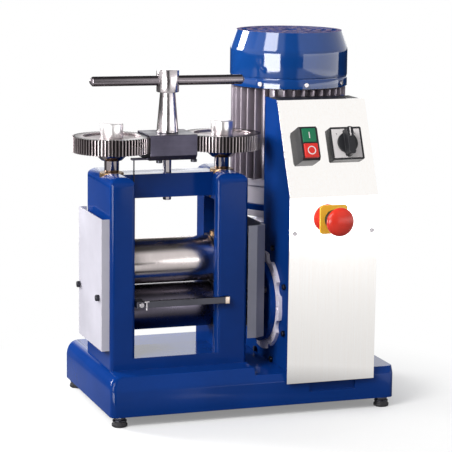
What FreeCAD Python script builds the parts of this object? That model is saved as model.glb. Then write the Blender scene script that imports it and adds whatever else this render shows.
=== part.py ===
import FreeCAD, Part
import math
import os

V = FreeCAD.Vector
X_AXIS, Y_AXIS, Z_AXIS = (1, 0, 0), (0, 1, 0), (0, 0, 1)

# Motor driven bench rolling mill. Millimetres, Z up. X runs along the rolls, -Y is the front.
# The model is laid out from the middle of the base casting, floor at Z 0, and is moved at the end
# so that the origin is under the middle of the whole machine.

# Fits between pieces
RUNNING = 0.05
SLIDING = 0.10
SEAT_GAP = 0.3

# Rubber feet and their studs
FOOT_HEIGHT = 14.5
FOOT_RADIUS = 11.0
FOOT_PAD = 8.0
FOOT_WASHER = 1.5
FOOT_NUT_RADIUS = 8.5
FOOT_STUD_RADIUS = 5.0
FOOT_STUD_DEPTH = 24.0
FOOT_INSET_X = 15.0
FOOT_INSET_Y = 11.0

# Base casting
BASE_LENGTH = 424.0
BASE_DEPTH = 252.0
BASE_HEIGHT = 55.7
BASE_CORNER = 8.0
BASE_FRONT_BEVEL = 10.0
BASE_LEFT_BEVEL = 14.0
BASE_RIGHT_BEVEL = 1.5
BASE_REAR_BEVEL = 1.0
BASE_BEVEL_DROP = 21.0
BASE_BEVEL_STEPS = 3
BASE_WALL = 9.0
BASE_DECK = 12.0
BASE_RIB = 10.0
BASE_BOSS_RADIUS = 14.0
STEP_X = 0.5
STEP_DROP = 10.2
RECESS_LEFT_X = 81.0
RECESS_WIDTH = 70.0
RECESS_LOW_Z = 31.5
RECESS_HEIGHT = 16.0
RECESS_DEPTH = 4.0

# Roller stand casting
STAND_CENTRE_X = -99.8
STAND_WIDTH = 201.6
STAND_TOP_Z = 342.0
POST_THICKNESS = 36.0
POST_FRONT_Y = -81.7
POST_DEPTH = 128.5
POST_EDGE_RADIUS = 6.0
POST_TOP_RADIUS = 14.0
TOP_BEAM_DEPTH = 40.0
TOP_BEAM_FRONT_Y = -25.5
TOP_BEAM_HEIGHT = 34.0
TOP_BEAM_DROP = 3.3
BOTTOM_BEAM_DEPTH = 76.7
BOTTOM_BEAM_HEIGHT = 16.8
LIP_WIDTH = 11.2
LIP_DEPTH = 12.0
WINDOW_WIDTH = 56.0
WINDOW_TOP_Z = 300.0
WINDOW_CORNER = 4.0
WINDOW_BLIND_Z = 270.0
WINDOW_OUTER_WALL = 7.5
STAND_BOLT_RADIUS = 5.0
STAND_BOLT_HEAD_RADIUS = 8.0
STAND_BOLT_HEAD = 8.0
STAND_BOLT_DEPTH = 24.0
STAND_BOLT_SPREAD_Y = 80.0

# Rolls
ROLL_DIAMETER = 65.0
ROLL_FACE = 125.0
ROLL_GAP = 1.5
ROLL_EDGE = 1.0
LOWER_ROLL_Z = 146.4
NECK_RADIUS = 17.5
NECK_OVERHANG = 3.0
SHOULDER_RADIUS = 22.0
GEAR_SEAT_RADIUS = 15.0
DRIVE_STUB_RADIUS = 14.0
DRIVE_STUB_END_X = 150.0

# Bearing blocks, bushes and thrust pads
CHOCK_HALF_HEIGHT = 32.0
CHOCK_HEAD_ROOM = 1.0
CHOCK_EDGE = 5.0
BUSH_WALL = 6.5
PAD_RADIUS = 16.0
PAD_HEIGHT = 6.0

# Roll gears behind the right cover
ROLL_GEAR_MODULE = 4.5
ROLL_GEAR_TEETH = 14
ROLL_GEAR_TIP = 37.0
ROLL_GEAR_ROOT = 26.3
ROLL_GEAR_WIDTH = 18.0
ROLL_GEAR_GAP = 3.0
ROLL_GEAR_BACKLASH = 0.3

# Screwdown: gears, screws, nuts
SCREW_GEAR_MODULE = 1.5
SCREW_GEAR_TEETH = 72
PINION_TEETH = 37
SCREW_GEAR_BACKLASH = 0.3
SCREW_GEAR_Z = 371.0
SCREW_GEAR_WIDTH = 22.4
SCREW_GEAR_RECESS_RADIUS = 40.5
SCREW_GEAR_RECESS = 2.5
SCREW_RADIUS = 10.5
SCREW_TIP_RADIUS = 9.0
SCREW_SEAT_RADIUS = 14.0
COLLAR_RADIUS = 24.75
COLLAR_NECK_RADIUS = 14.5
COLLAR_HEIGHT = 12.0
COLLAR_RIM = 2.0
DIAL_RADIUS = 16.0
DIAL_HEIGHT = 20.0
DIAL_EDGE = 1.5
NUT_WALL = 6.5

# Gear carrier, spindle and cross bar
CARRIER_WIDTH = 69.0
CARRIER_DEPTH = 65.0
CARRIER_WALL = 2.5
CARRIER_TOP = 2.3
CARRIER_BOTTOM = 11.0
CARRIER_BEVEL = 7.0
CARRIER_SCREW_RADIUS = 4.5
CARRIER_SCREW_HEAD = 4.0
CARRIER_SCREW_SPREAD_X = 51.0
CARRIER_SCREW_SPREAD_Y = 42.0
CARRIER_SCREW_SHIFT = 7.3
LUG_WIDTH = 8.0
LUG_THICKNESS = 3.0
POINTER_X = -152.7
POINTER_Y = -30.0
POINTER_RADIUS = 1.0
POINTER_LOW_Z = 299.5
JOURNAL_RADIUS = 9.0
TAIL_RADIUS = 5.95
TAIL_LOW_Z = 299.7
TAPER_FOOT_RADIUS = 16.0
TAPER_LOW_RADIUS = 15.3
TAPER_FLARE = 3.0
TAPER_TOP_RADIUS = 10.75
TAPER_TOP_Z = 453.4
HUB_RADIUS = 16.0
HUB_HEIGHT = 31.6
HUB_EDGE = 1.2
BAR_RADIUS = 7.0
BAR_LENGTH = 225.0
BAR_POINT = 4.0
BAR_BELOW_HUB_TOP = 15.3
BAR_TURN = -3.0

# Feed rest in front of the lower roll
REST_HEIGHT = 9.0
REST_TOP_Z = 168.5
REST_THICKNESS = 6.8
REST_OVERLAP = 18.0
REST_BLOCK_LENGTH = 12.5
REST_BLOCK_DEPTH = 15.0
REST_END_WIDTH = 6.0
REST_END_PROUD = 0.8
REST_SCREW_RADIUS = 3.4
REST_SCREW_HEAD = 3.0
REST_TEE_RADIUS = 1.6
REST_TEE_LENGTH = 12.0
REST_TEE_SPACING = 7.5

# Sheet covers over the roll ends
COVER_SHEET = 1.5
LEFT_COVER_REACH = 11.4
LEFT_COVER_FRONT_Y = -75.0
LEFT_COVER_REAR_Y = 47.0
LEFT_COVER_LOW_Z = 98.0
LEFT_COVER_TOP_Z = 284.5
RIGHT_COVER_REACH = 27.0
RIGHT_COVER_BEND = 13.0
RIGHT_COVER_SLOPE = 7.0
RIGHT_COVER_FRONT_Y = -83.5
RIGHT_COVER_REAR_Y = 47.0
RIGHT_COVER_LOW_Z = 105.5
RIGHT_COVER_TOP_Z = 268.0
COVER_HOLE_RADIUS = 22.0
COVER_SCREW_RADIUS = 2.4
COVER_SCREW_HEAD_RADIUS = 4.5
COVER_SCREW_HEAD = 5.0
COVER_SCREW_DEPTH = 12.0
COVER_SCREW_Z = 172.0
COVER_SCREW_EDGE = 14.0

# Cabinet
PANEL_LEFT_X = 44.2
PANEL_WIDTH = 133.3
PANEL_SHEET = 1.5
PANEL_AHEAD = 5.0
PANEL_LOW_Z = 46.4
BEND_Z = 313.3
PANEL_TOP_Z = 443.7
PANEL_LEAN = 57.5
PANEL_OVERHANG = 6.8
SIDE_PLATE = 3.0
SIDE_REAR_Y = -7.0
TOP_PLATE = 1.5
BACK_SHEET = 1.5
BACK_Y = -32.5
DRIVE_PLATE_REAR_Y = 85.0
DRIVE_PLATE_TOP_Z = 250.0
PANEL_SCREW_Z = 262.3
PANEL_SCREW_RADIUS = 1.4
PANEL_SCREW_HEAD_RADIUS = 3.2
PANEL_SCREW_HEAD = 1.2
PANEL_SCREW_DEPTH = 8.0

# Start and stop buttons on the sloped panel: distances down the slope from its top edge
HOUSING_CENTRE_X = 77.1
HOUSING_WIDTH = 26.6
HOUSING_DOWN = 44.4
HOUSING_LENGTH = 49.4
HOUSING_HEIGHT = 20.0
HOUSING_WALL = 2.0
HOUSING_EDGE = 4.0
BUTTON_WIDTH = 20.4
BUTTON_LENGTH = 20.4
BUTTON_THICKNESS = 8.0
BUTTON_STEM_RADIUS = 4.0
START_DOWN = 58.2
STOP_DOWN = 80.8
START_PROUD = 1.0
STOP_PROUD = 3.0
BUTTON_TRAVEL = 3.0
BUTTON_EDGE = 1.0

# Selector switch
SELECTOR_X = 137.3
SELECTOR_DOWN = 68.3
SELECTOR_SIZE = 48.0
SELECTOR_HEIGHT = 9.0
SELECTOR_BORDER = 2.5
SELECTOR_RECESS = 0.8
KNOB_RADIUS = 15.0
KNOB_DISC = 4.0
KNOB_GRIP_LENGTH = 40.0
KNOB_GRIP_WIDTH = 10.0
KNOB_GRIP_HEIGHT = 13.0
KNOB_GRIP_CORNER = 4.0

# Emergency stop on the upright panel
ESTOP_X = 110.2
ESTOP_Z = 280.5
ESTOP_PLATE = 41.0
ESTOP_PLATE_CORNER = 5.0
ESTOP_PLATE_THICKNESS = 1.5
ESTOP_COLLAR_RADIUS = 14.0
ESTOP_COLLAR = 8.7
ESTOP_STEM_RADIUS = 8.0
ESTOP_NOSE_RADIUS = 6.0
ESTOP_NOSE = 12.0
ESTOP_HEAD_RADIUS = 20.3
ESTOP_HEAD_BACK_RADIUS = 12.0
ESTOP_HEAD_CONE = 8.0
ESTOP_HEAD_RIM = 3.0
ESTOP_HEAD_DOME = 7.0
ESTOP_DOME_STEP = 4.2
ESTOP_DOME_STEP_RADIUS = 17.0
ESTOP_CROWN_RADIUS = 9.0
ESTOP_TRAVEL = 5.0
CONTACT_DEPTH = 34.0
CONTACT_WALL = 2.5
STEM_REACH = 10.0

# Worm reducer
WORM_CENTRES = 75.0
WHEEL_MODULE = 1.8
WHEEL_TEETH = 60
WHEEL_WIDTH = 30.0
WHEEL_BACKLASH = 0.3
HOLLOW_SHAFT_RADIUS = 24.0
DRUM_RADIUS = 78.0
DRUM_LENGTH = 101.0
CHAMBER_CLEAR = 1.5
FLANGE_RADIUS = 98.0
FLANGE_THICKNESS = 10.0
FOOT_PAD_FRONT = 60.0
FOOT_PAD_REAR = 24.0
FOOT_PAD_HEIGHT = 40.0
FOOT_PAD_INSET = 3.0
TOWER_RADIUS = 44.0
GEARBOX_TOP_Z = 249.0
TOWER_FLANGE_RADIUS = 54.0
TOWER_FLANGE = 10.0
WORM_RADIUS = 18.8
WORM_LENGTH = 85.0
WORM_END_RADIUS = 12.0
WORM_END = 12.0
WORM_NECK_RADIUS = 16.0
LOBED_RADIUS = 72.0
LOBED_THICKNESS = 5.0
SCALLOP_CIRCLE = 75.0
SCALLOP_RADIUS = 11.0
LOBE_POCKET_RADIUS = 3.0
LOBE_POCKET_INSET = 7.0
OUTPUT_HUB_RADIUS = 60.0
OUTPUT_HUB = 8.0
OUTPUT_HUB_EDGE = 1.0
HOLLOW_SHAFT_PROUD = 2.0
FLANGE_BOLT_COUNT = 8
FLANGE_BOLT_CIRCLE = 88.5
FLANGE_BOLT_RADIUS = 3.0
FLANGE_BOLT_HEAD_RADIUS = 4.0
FLANGE_BOLT_HEAD = 4.0
FLANGE_BOLT_DEPTH = 12.0

# Motor, standing on the reducer
MOTOR_X = 110.5
ADAPTER_NECK = 15.5
ADAPTER_NECK_RADIUS = 45.0
ADAPTER_RADIUS = 80.0
ADAPTER = 9.0
MOTOR_FLANGE_RADIUS = 80.0
MOTOR_FLANGE = 8.3
SHIELD_LOW_RADIUS = 76.0
SHIELD_LOW = 27.0
SHIELD_RIM_RADIUS = 79.5
SHIELD_RIM = 11.0
FIN_COUNT = 36
FIN_TIP_RADIUS = 84.5
FIN_THICKNESS = 3.0
FIN_TOP_GAP = 2.0
BARREL_RADIUS = 71.0
BARREL_TOP = 12.0
MOTOR_WALL = 9.0
MOTOR_END_WALL = 8.0
MOTOR_SHAFT_RADIUS = 11.0
ROTOR_RADIUS = 42.0
ROTOR_LENGTH = 90.0
STATOR_GAP = 0.6
FAN_BLADES = 8
FAN_RADIUS = 66.0
FAN_HUB_RADIUS = 20.0
FAN_DISC_RADIUS = 46.0
FAN_RISE = 24.0
FAN_HEIGHT = 34.0
FAN_BLADE = 2.5
FAN_BLADE_TOP_DROP = 4.0
COWL_RADIUS = 86.5
COWL_ABOVE_PANEL = 9.8
COWL_SKIRT = 53.5
COWL_CONE = 26.5
COWL_TOP_RADIUS = 77.5
COWL_SHEET = 1.5
COWL_LUG_WIDTH = 12.0
COWL_LUG_HEIGHT = 10.0
COWL_SCREW_RISE = 6.0
COWL_SCREW_COUNT = 8
COWL_SCREW_PHASE = -93.5
COWL_SCREW_RADIUS = 2.0
COWL_SCREW_HEAD_RADIUS = 3.5
COWL_SCREW_HEAD = 2.2
COWL_SCREW_DEPTH = 8.0
GRILLE_RINGS = 4
GRILLE_PITCH = 15.0
GRILLE_SLOT = 7.0
GRILLE_FIRST_RADIUS = 18.0
GRILLE_SPOKES = 12
GRILLE_SPOKE = 5.0
TERMINAL_WIDTH = 60.0
TERMINAL_HEIGHT = 70.0
TERMINAL_DEPTH = 24.5
TERMINAL_LOW_Z = 350.0
TERMINAL_LID = 3.0
SADDLE_REACH = 76.0
SADDLE_ROOT = 57.0

# Cable gland on the cabinet's right side
GLAND_Y = -60.0
GLAND_Z = 240.0
GLAND_BORE_RADIUS = 5.0
GLAND_THREAD_RADIUS = 9.9
GLAND_HEX_RADIUS = 13.5
GLAND_HEX = 8.0
GLAND_DOME = 14.0
GLAND_DOME_RADIUS = 11.5
GLAND_DOME_STEP = 8.4
GLAND_MOUTH_RADIUS = 8.1
GLAND_TAIL = 12.0

# Places worked out from the sizes above
BASE_TOP_Z = FOOT_HEIGHT + BASE_HEIGHT
CABINET_FLOOR_Z = BASE_TOP_Z - STEP_DROP
ROLL_Y = POST_FRONT_Y + POST_DEPTH / 2
POST_REAR_Y = POST_FRONT_Y + POST_DEPTH
STAND_LEFT_X = STAND_CENTRE_X - STAND_WIDTH / 2
STAND_RIGHT_X = STAND_CENTRE_X + STAND_WIDTH / 2
LEFT_INNER_X = STAND_LEFT_X + POST_THICKNESS
RIGHT_INNER_X = STAND_RIGHT_X - POST_THICKNESS
TOP_BEAM_TOP_Z = STAND_TOP_Z - TOP_BEAM_DROP
BOTTOM_BEAM_TOP_Z = BASE_TOP_Z + BOTTOM_BEAM_HEIGHT
ROLL_RADIUS = ROLL_DIAMETER / 2
UPPER_ROLL_Z = LOWER_ROLL_Z + ROLL_DIAMETER + ROLL_GAP
WINDOW_LOW_Z = LOWER_ROLL_Z - CHOCK_HALF_HEIGHT
BUSH_BORE = NECK_RADIUS + RUNNING
BUSH_RADIUS = BUSH_BORE + BUSH_WALL
CHOCK_TOP_Z = UPPER_ROLL_Z + CHOCK_HALF_HEIGHT
PAD_TOP_Z = CHOCK_TOP_Z + PAD_HEIGHT
ROLL_GEAR_X = STAND_RIGHT_X + ROLL_GEAR_GAP
ROLL_GEAR_END_X = ROLL_GEAR_X + ROLL_GEAR_WIDTH
SCREW_OFFSET = SCREW_GEAR_MODULE * (SCREW_GEAR_TEETH + PINION_TEETH) / 2
SCREW_XS = {"left": STAND_CENTRE_X - SCREW_OFFSET, "right": STAND_CENTRE_X + SCREW_OFFSET}
SCREW_GEAR_TOP_Z = SCREW_GEAR_Z + SCREW_GEAR_WIDTH
CARRIER_LOW_Z = SCREW_GEAR_Z - SEAT_GAP - CARRIER_BOTTOM
CARRIER_TOP_Z = SCREW_GEAR_TOP_Z + SEAT_GAP + CARRIER_TOP
HUB_TOP_Z = TAPER_TOP_Z + HUB_HEIGHT
BAR_Z = HUB_TOP_Z - BAR_BELOW_HUB_TOP
NUT_RADIUS = SCREW_RADIUS + RUNNING + NUT_WALL
LEFT_COVER_SCREW_YS = (LEFT_COVER_FRONT_Y + COVER_SCREW_EDGE, LEFT_COVER_REAR_Y - COVER_SCREW_EDGE / 2)
RIGHT_COVER_SCREW_YS = (RIGHT_COVER_FRONT_Y + COVER_SCREW_EDGE, RIGHT_COVER_REAR_Y - COVER_SCREW_EDGE)
PANEL_RIGHT_X = PANEL_LEFT_X + PANEL_WIDTH
PANEL_FRONT_Y = -BASE_DEPTH / 2 - PANEL_AHEAD
LEFT_PLATE_X = PANEL_LEFT_X + PANEL_OVERHANG
RIGHT_PLATE_X = PANEL_RIGHT_X - PANEL_OVERHANG
PANEL_TOP_Y = PANEL_FRONT_Y + PANEL_LEAN
SLOPE_LENGTH = math.hypot(PANEL_LEAN, PANEL_TOP_Z - BEND_Z)
SLOPE_TURN = math.degrees(math.atan2(PANEL_TOP_Z - BEND_Z, PANEL_LEAN))
HOUSING_LOW = SLOPE_LENGTH - HOUSING_DOWN - HOUSING_LENGTH
START_ALONG = SLOPE_LENGTH - START_DOWN
STOP_ALONG = SLOPE_LENGTH - STOP_DOWN
SELECTOR_ALONG = SLOPE_LENGTH - SELECTOR_DOWN
MOTOR_Y = ROLL_Y + WORM_CENTRES
FLANGE_X = LEFT_PLATE_X + SIDE_PLATE
LOBED_X = LEFT_PLATE_X - LOBED_THICKNESS
OUTPUT_HUB_X = LOBED_X - OUTPUT_HUB
HOLLOW_SHAFT_X = OUTPUT_HUB_X - HOLLOW_SHAFT_PROUD
DRUM_END_X = FLANGE_X + FLANGE_THICKNESS + DRUM_LENGTH
ADAPTER_TOP_Z = GEARBOX_TOP_Z + ADAPTER_NECK + ADAPTER
MOTOR_FLANGE_TOP_Z = ADAPTER_TOP_Z + MOTOR_FLANGE
SHIELD_TOP_Z = MOTOR_FLANGE_TOP_Z + SHIELD_LOW + SHIELD_RIM
COWL_LOW_Z = PANEL_TOP_Z + COWL_ABOVE_PANEL
COWL_SHOULDER_Z = COWL_LOW_Z + COWL_SKIRT
COWL_TOP_Z = COWL_SHOULDER_Z + COWL_CONE
COWL_SCREW_Z = COWL_LOW_Z + COWL_SCREW_RISE
MOTOR_TOP_Z = COWL_LOW_Z + BARREL_TOP
FAN_Z = COWL_LOW_Z + FAN_RISE
FIN_LENGTH = COWL_LOW_Z - FIN_TOP_GAP - SHIELD_TOP_Z
WORM_LOW_Z = LOWER_ROLL_Z - WORM_LENGTH / 2
WORM_HIGH_Z = LOWER_ROLL_Z + WORM_LENGTH / 2


def block(x, y, z):
    """A box between the low and high values of each axis."""
    return Part.makeBox(x[1] - x[0], y[1] - y[0], z[1] - z[0], V(x[0], y[0], z[0]))


def rod(radius, start, axis, length):
    return Part.makeCylinder(radius, length, V(*start), V(*axis))


def tube(outer, inner, start, axis, length):
    return rod(outer, start, axis, length).cut(rod(inner, start, axis, length))


def aimed(shape, start, axis):
    """Move a shape drawn along +Z so that it starts at a point and runs along an axis."""
    shape.Placement = FreeCAD.Placement(V(*start), FreeCAD.Rotation(V(*Z_AXIS), V(*axis)))
    return shape


def turned(profile, start, axis):
    """A turned piece from (distance along the axis, radius) corners, closed along the axis."""
    corners = [V(radius, 0, along) for along, radius in profile]
    corners = [V(0, 0, profile[0][0])] + corners + [V(0, 0, profile[-1][0])]
    face = Part.Face(Part.makePolygon(corners + corners[:1]))
    return aimed(face.revolve(V(0, 0, 0), V(*Z_AXIS), 360), start, axis)


def prism(corners, sweep):
    """A straight prism from flat corners and the vector it is swept along."""
    points = [V(*corner) for corner in corners]
    return Part.Face(Part.makePolygon(points + points[:1])).extrude(V(*sweep))


def hexagon(radius, start, axis, length):
    corners = [(radius * math.cos(math.radians(60 * k)), radius * math.sin(math.radians(60 * k)), 0)
               for k in range(6)]
    return aimed(prism(corners, (0, 0, length)), start, axis)


def fused(shapes):
    whole = shapes[0]
    for shape in shapes[1:]:
        whole = whole.fuse(shape)
    return whole.removeSplitter()


def rounded(shape, radius, wanted):
    """Fillet the edges whose two ends both satisfy the test."""
    edges = [edge for edge in shape.Edges if all(wanted(v.Point) for v in edge.Vertexes)]
    return shape.makeFillet(radius, edges)


def run_along(shape, axis):
    """Edges of a box that run along one axis."""
    return [edge for edge in shape.Edges
            if abs(edge.tangentAt(edge.FirstParameter).dot(V(*axis))) > 0.99]


def near(value, target):
    return abs(value - target) < 0.01


def mirrored_spots(half_x, half_y):
    return [(sx * half_x, sy * half_y) for sx in (-1, 1) for sy in (-1, 1)]


def involute(angle):
    return math.tan(angle) - angle


def gear_outline(module, teeth, tip, root, backlash, steps, turn):
    """Corners of a spur gear with involute flanks, one tooth centred on +X when turn is 0."""
    pitch = module * teeth / 2
    pressure = math.radians(20)
    base = pitch * math.cos(pressure)
    half_pitch = (math.pi * module / 2 - backlash) / (module * teeth) + involute(pressure)
    flank = []
    for step in range(steps + 1):
        radius = root + (tip - root) * step / steps
        opening = math.acos(min(1.0, base / max(radius, base)))
        flank.append((radius, half_pitch - involute(opening)))
    corners = []
    for tooth in range(teeth):
        middle = math.radians(turn) + 2 * math.pi * tooth / teeth
        for radius, half in flank:
            corners.append((radius * math.cos(middle - half), radius * math.sin(middle - half), 0))
        for radius, half in reversed(flank):
            corners.append((radius * math.cos(middle + half), radius * math.sin(middle + half), 0))
    return corners


def spur_gear(module, teeth, width, backlash, tip=None, root=None, steps=1, half_pitch=False):
    pitch = module * teeth / 2
    tip = tip or pitch + module
    root = root or pitch - 1.25 * module
    turn = 180.0 / teeth if half_pitch else 0.0
    return prism(gear_outline(module, teeth, tip, root, backlash, steps, turn), (0, 0, width))


def rounded_rectangle(x, y, radius, z):
    """A closed wire with round corners between the low and high values of X and Y."""
    wires = []
    centres = [(x[1] - radius, y[1] - radius), (x[0] + radius, y[1] - radius),
               (x[0] + radius, y[0] + radius), (x[1] - radius, y[0] + radius)]
    for quarter, (cx, cy) in enumerate(centres):
        turns = [math.radians(90 * quarter + part) for part in (0, 45, 90)]
        start, middle, end = [V(cx + radius * math.cos(a), cy + radius * math.sin(a), z) for a in turns]
        wires.append(Part.Arc(start, middle, end).toShape())
        nx, ny = centres[(quarter + 1) % 4]
        follow = V(nx + radius * math.cos(turns[2]), ny + radius * math.sin(turns[2]), z)
        wires.append(Part.makeLine(end, follow))
    return Part.Wire(wires)


# Base casting and feet

def bevelled_block():
    """The base's outside: a straight bevel along the front, the other upper edges rounded over."""
    half_x, half_y = BASE_LENGTH / 2, BASE_DEPTH / 2
    wires = [rounded_rectangle((-half_x, half_x), (-half_y, half_y), BASE_CORNER, FOOT_HEIGHT)]
    for step in range(BASE_BEVEL_STEPS + 1):
        turn = math.radians(90.0 * step / BASE_BEVEL_STEPS)
        rise, draw = math.sin(turn), 1 - math.cos(turn)
        x = (-half_x + BASE_LEFT_BEVEL * draw, half_x - BASE_RIGHT_BEVEL * draw)
        y = (-half_y + BASE_FRONT_BEVEL * rise, half_y - BASE_REAR_BEVEL * draw)
        wires.append(rounded_rectangle(x, y, BASE_CORNER, BASE_TOP_Z - BASE_BEVEL_DROP * (1 - rise)))
    return Part.makeLoft(wires, True, True)


def front_recess():
    """Shallow recess in the base's front face, under the panel."""
    front = -BASE_DEPTH / 2
    return block((RECESS_LEFT_X, RECESS_LEFT_X + RECESS_WIDTH), (front - 1, front + RECESS_DEPTH),
                 (RECESS_LOW_Z, RECESS_LOW_Z + RECESS_HEIGHT))


def base_pocket(x, top_z):
    half_y = BASE_DEPTH / 2 - BASE_WALL
    return block(x, (-half_y, half_y), (FOOT_HEIGHT, top_z - BASE_DECK))


def foot_spots():
    return mirrored_spots(BASE_LENGTH / 2 - FOOT_INSET_X, BASE_DEPTH / 2 - FOOT_INSET_Y)


def stand_bolt_spots():
    middle = STAND_WIDTH / 2 - POST_THICKNESS / 2
    return [(STAND_CENTRE_X + x, ROLL_Y + y) for x, y in mirrored_spots(middle, STAND_BOLT_SPREAD_Y / 2)]


def base_casting():
    step = block((STEP_X, BASE_LENGTH), (-BASE_DEPTH, BASE_DEPTH), (CABINET_FLOOR_Z, BASE_TOP_Z + 1))
    outside = bevelled_block().cut(step).cut(front_recess())
    inner = BASE_LENGTH / 2 - BASE_WALL
    pockets = [base_pocket((-inner, STEP_X - BASE_RIB / 2), BASE_TOP_Z),
               base_pocket((STEP_X + BASE_RIB / 2, inner), CABINET_FLOOR_Z)]
    casting = outside.cut(fused(pockets))
    depth = CABINET_FLOOR_Z - BASE_DECK - FOOT_HEIGHT
    bosses = [rod(BASE_BOSS_RADIUS, (x, y, FOOT_HEIGHT), Z_AXIS, depth).common(outside)
              for x, y in foot_spots()]
    casting = fused([casting] + bosses)
    for x, y in foot_spots():
        casting = casting.cut(rod(FOOT_STUD_RADIUS + RUNNING, (x, y, 0), Z_AXIS,
                                  FOOT_HEIGHT + FOOT_STUD_DEPTH + SEAT_GAP))
    for x, y in stand_bolt_spots():
        casting = casting.cut(rod(STAND_BOLT_RADIUS + RUNNING, (x, y, 0), Z_AXIS, BASE_TOP_Z + 1))
    return casting


def rubber_feet():
    profile = [(0, FOOT_RADIUS - 1), (1.5, FOOT_RADIUS), (FOOT_PAD - 2, FOOT_RADIUS),
               (FOOT_PAD, FOOT_RADIUS - 2)]
    return Part.Compound([turned(profile, (x, y, 0), Z_AXIS) for x, y in foot_spots()])


def foot_studs():
    studs = []
    for x, y in foot_spots():
        washer = rod(FOOT_RADIUS - 1, (x, y, FOOT_PAD), Z_AXIS, FOOT_WASHER)
        nut_z = FOOT_PAD + FOOT_WASHER
        nut = hexagon(FOOT_NUT_RADIUS, (x, y, nut_z), Z_AXIS, FOOT_HEIGHT - nut_z)
        stud = rod(FOOT_STUD_RADIUS, (x, y, FOOT_HEIGHT), Z_AXIS, FOOT_STUD_DEPTH)
        studs.append(fused([washer, nut, stud]))
    return Part.Compound(studs)


# Roller stand

def post(outer_x, inner_x):
    """One side post: a block with round uprights and a round top on all four sides."""
    x = (min(outer_x, inner_x), max(outer_x, inner_x))
    y = (POST_FRONT_Y, POST_REAR_Y)
    z = (BASE_TOP_Z, STAND_TOP_Z)
    upright = block(x, y, z)
    upright = upright.makeFillet(POST_EDGE_RADIUS, run_along(upright, Z_AXIS))
    side = rounded(block(x, y, z), POST_TOP_RADIUS, lambda p: near(p.z, z[1]) and near(p.y, y[0]))
    side = rounded(side, POST_TOP_RADIUS, lambda p: near(p.z, z[1]) and near(p.y, y[1]))
    front = rounded(block(x, y, z), POST_TOP_RADIUS, lambda p: near(p.z, z[1]) and near(p.x, x[0]))
    front = rounded(front, POST_TOP_RADIUS, lambda p: near(p.z, z[1]) and near(p.x, x[1]))
    return upright.common(side).common(front)


def window_cutter():
    """The opening for the bearing blocks: through both posts, with an outer wall left at its top."""
    y = (ROLL_Y - WINDOW_WIDTH / 2, ROLL_Y + WINDOW_WIDTH / 2)
    through = block((STAND_LEFT_X - 1, STAND_RIGHT_X + 1), y, (WINDOW_LOW_Z, WINDOW_BLIND_Z))
    blind = block((STAND_LEFT_X + WINDOW_OUTER_WALL, STAND_RIGHT_X - WINDOW_OUTER_WALL), y,
                  (WINDOW_LOW_Z, WINDOW_TOP_Z))
    return [cutter.makeFillet(WINDOW_CORNER, run_along(cutter, X_AXIS)) for cutter in (through, blind)]


def stand_beams():
    inside = (LEFT_INNER_X - POST_THICKNESS / 2, RIGHT_INNER_X + POST_THICKNESS / 2)
    top = block(inside, (TOP_BEAM_FRONT_Y, TOP_BEAM_FRONT_Y + TOP_BEAM_DEPTH),
                (TOP_BEAM_TOP_Z - TOP_BEAM_HEIGHT, TOP_BEAM_TOP_Z))
    bottom = block(inside, (POST_FRONT_Y, POST_FRONT_Y + BOTTOM_BEAM_DEPTH),
                   (BASE_TOP_Z, BOTTOM_BEAM_TOP_Z))
    return [top, bottom]


def right_lip():
    """The right post's front edge, wider than the post behind it."""
    front = block((-BASE_LENGTH, BASE_LENGTH), (POST_FRONT_Y, POST_FRONT_Y + LIP_DEPTH), (0, STAND_TOP_Z))
    return post(STAND_RIGHT_X, RIGHT_INNER_X - LIP_WIDTH).common(front)


def stand_holes():
    holes = [rod(TAIL_RADIUS + SLIDING, (STAND_CENTRE_X, ROLL_Y, WINDOW_TOP_Z), Z_AXIS,
                 STAND_TOP_Z - WINDOW_TOP_Z)]
    for x in SCREW_XS.values():
        holes.append(rod(NUT_RADIUS + RUNNING, (x, ROLL_Y, WINDOW_TOP_Z - 1), Z_AXIS,
                         STAND_TOP_Z - WINDOW_TOP_Z + 2))
    for x, y in stand_bolt_spots():
        holes.append(rod(STAND_BOLT_RADIUS + RUNNING, (x, y, BASE_TOP_Z - 1), Z_AXIS,
                         STAND_BOLT_DEPTH + SEAT_GAP + 1))
    for y in LEFT_COVER_SCREW_YS:
        holes.append(rod(COVER_SCREW_RADIUS + RUNNING, (STAND_LEFT_X - 1, y, COVER_SCREW_Z), X_AXIS,
                         COVER_SCREW_DEPTH + SEAT_GAP + 1))
    for y in RIGHT_COVER_SCREW_YS:
        start = STAND_RIGHT_X - COVER_SCREW_DEPTH - SEAT_GAP
        holes.append(rod(COVER_SCREW_RADIUS + RUNNING, (start, y, COVER_SCREW_Z), X_AXIS,
                         STAND_RIGHT_X + 1 - start))
    return holes


def roller_stand():
    posts = [post(STAND_LEFT_X, LEFT_INNER_X), post(STAND_RIGHT_X, RIGHT_INNER_X)]
    stand = fused(posts + stand_beams() + [right_lip()])
    for hole in window_cutter() + stand_holes():
        stand = stand.cut(hole)
    return stand


def stand_bolts():
    bolts = []
    ceiling = BASE_TOP_Z - BASE_DECK
    for x, y in stand_bolt_spots():
        head = rod(STAND_BOLT_HEAD_RADIUS, (x, y, ceiling - STAND_BOLT_HEAD), Z_AXIS, STAND_BOLT_HEAD)
        shank = rod(STAND_BOLT_RADIUS, (x, y, ceiling), Z_AXIS, BASE_DECK + STAND_BOLT_DEPTH)
        bolts.append(fused([head, shank]))
    return bolts


def screwdown_nuts():
    height = STAND_TOP_Z - WINDOW_TOP_Z
    bore = SCREW_RADIUS + RUNNING
    return Part.Compound([tube(NUT_RADIUS, bore, (x, ROLL_Y, WINDOW_TOP_Z), Z_AXIS, height)
                          for x in SCREW_XS.values()])


# Bearing blocks and rolls

def post_span(side):
    if side == "left":
        return (STAND_LEFT_X + SLIDING, LEFT_INNER_X - SLIDING)
    return (RIGHT_INNER_X + SLIDING, STAND_RIGHT_X - SLIDING)


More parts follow.
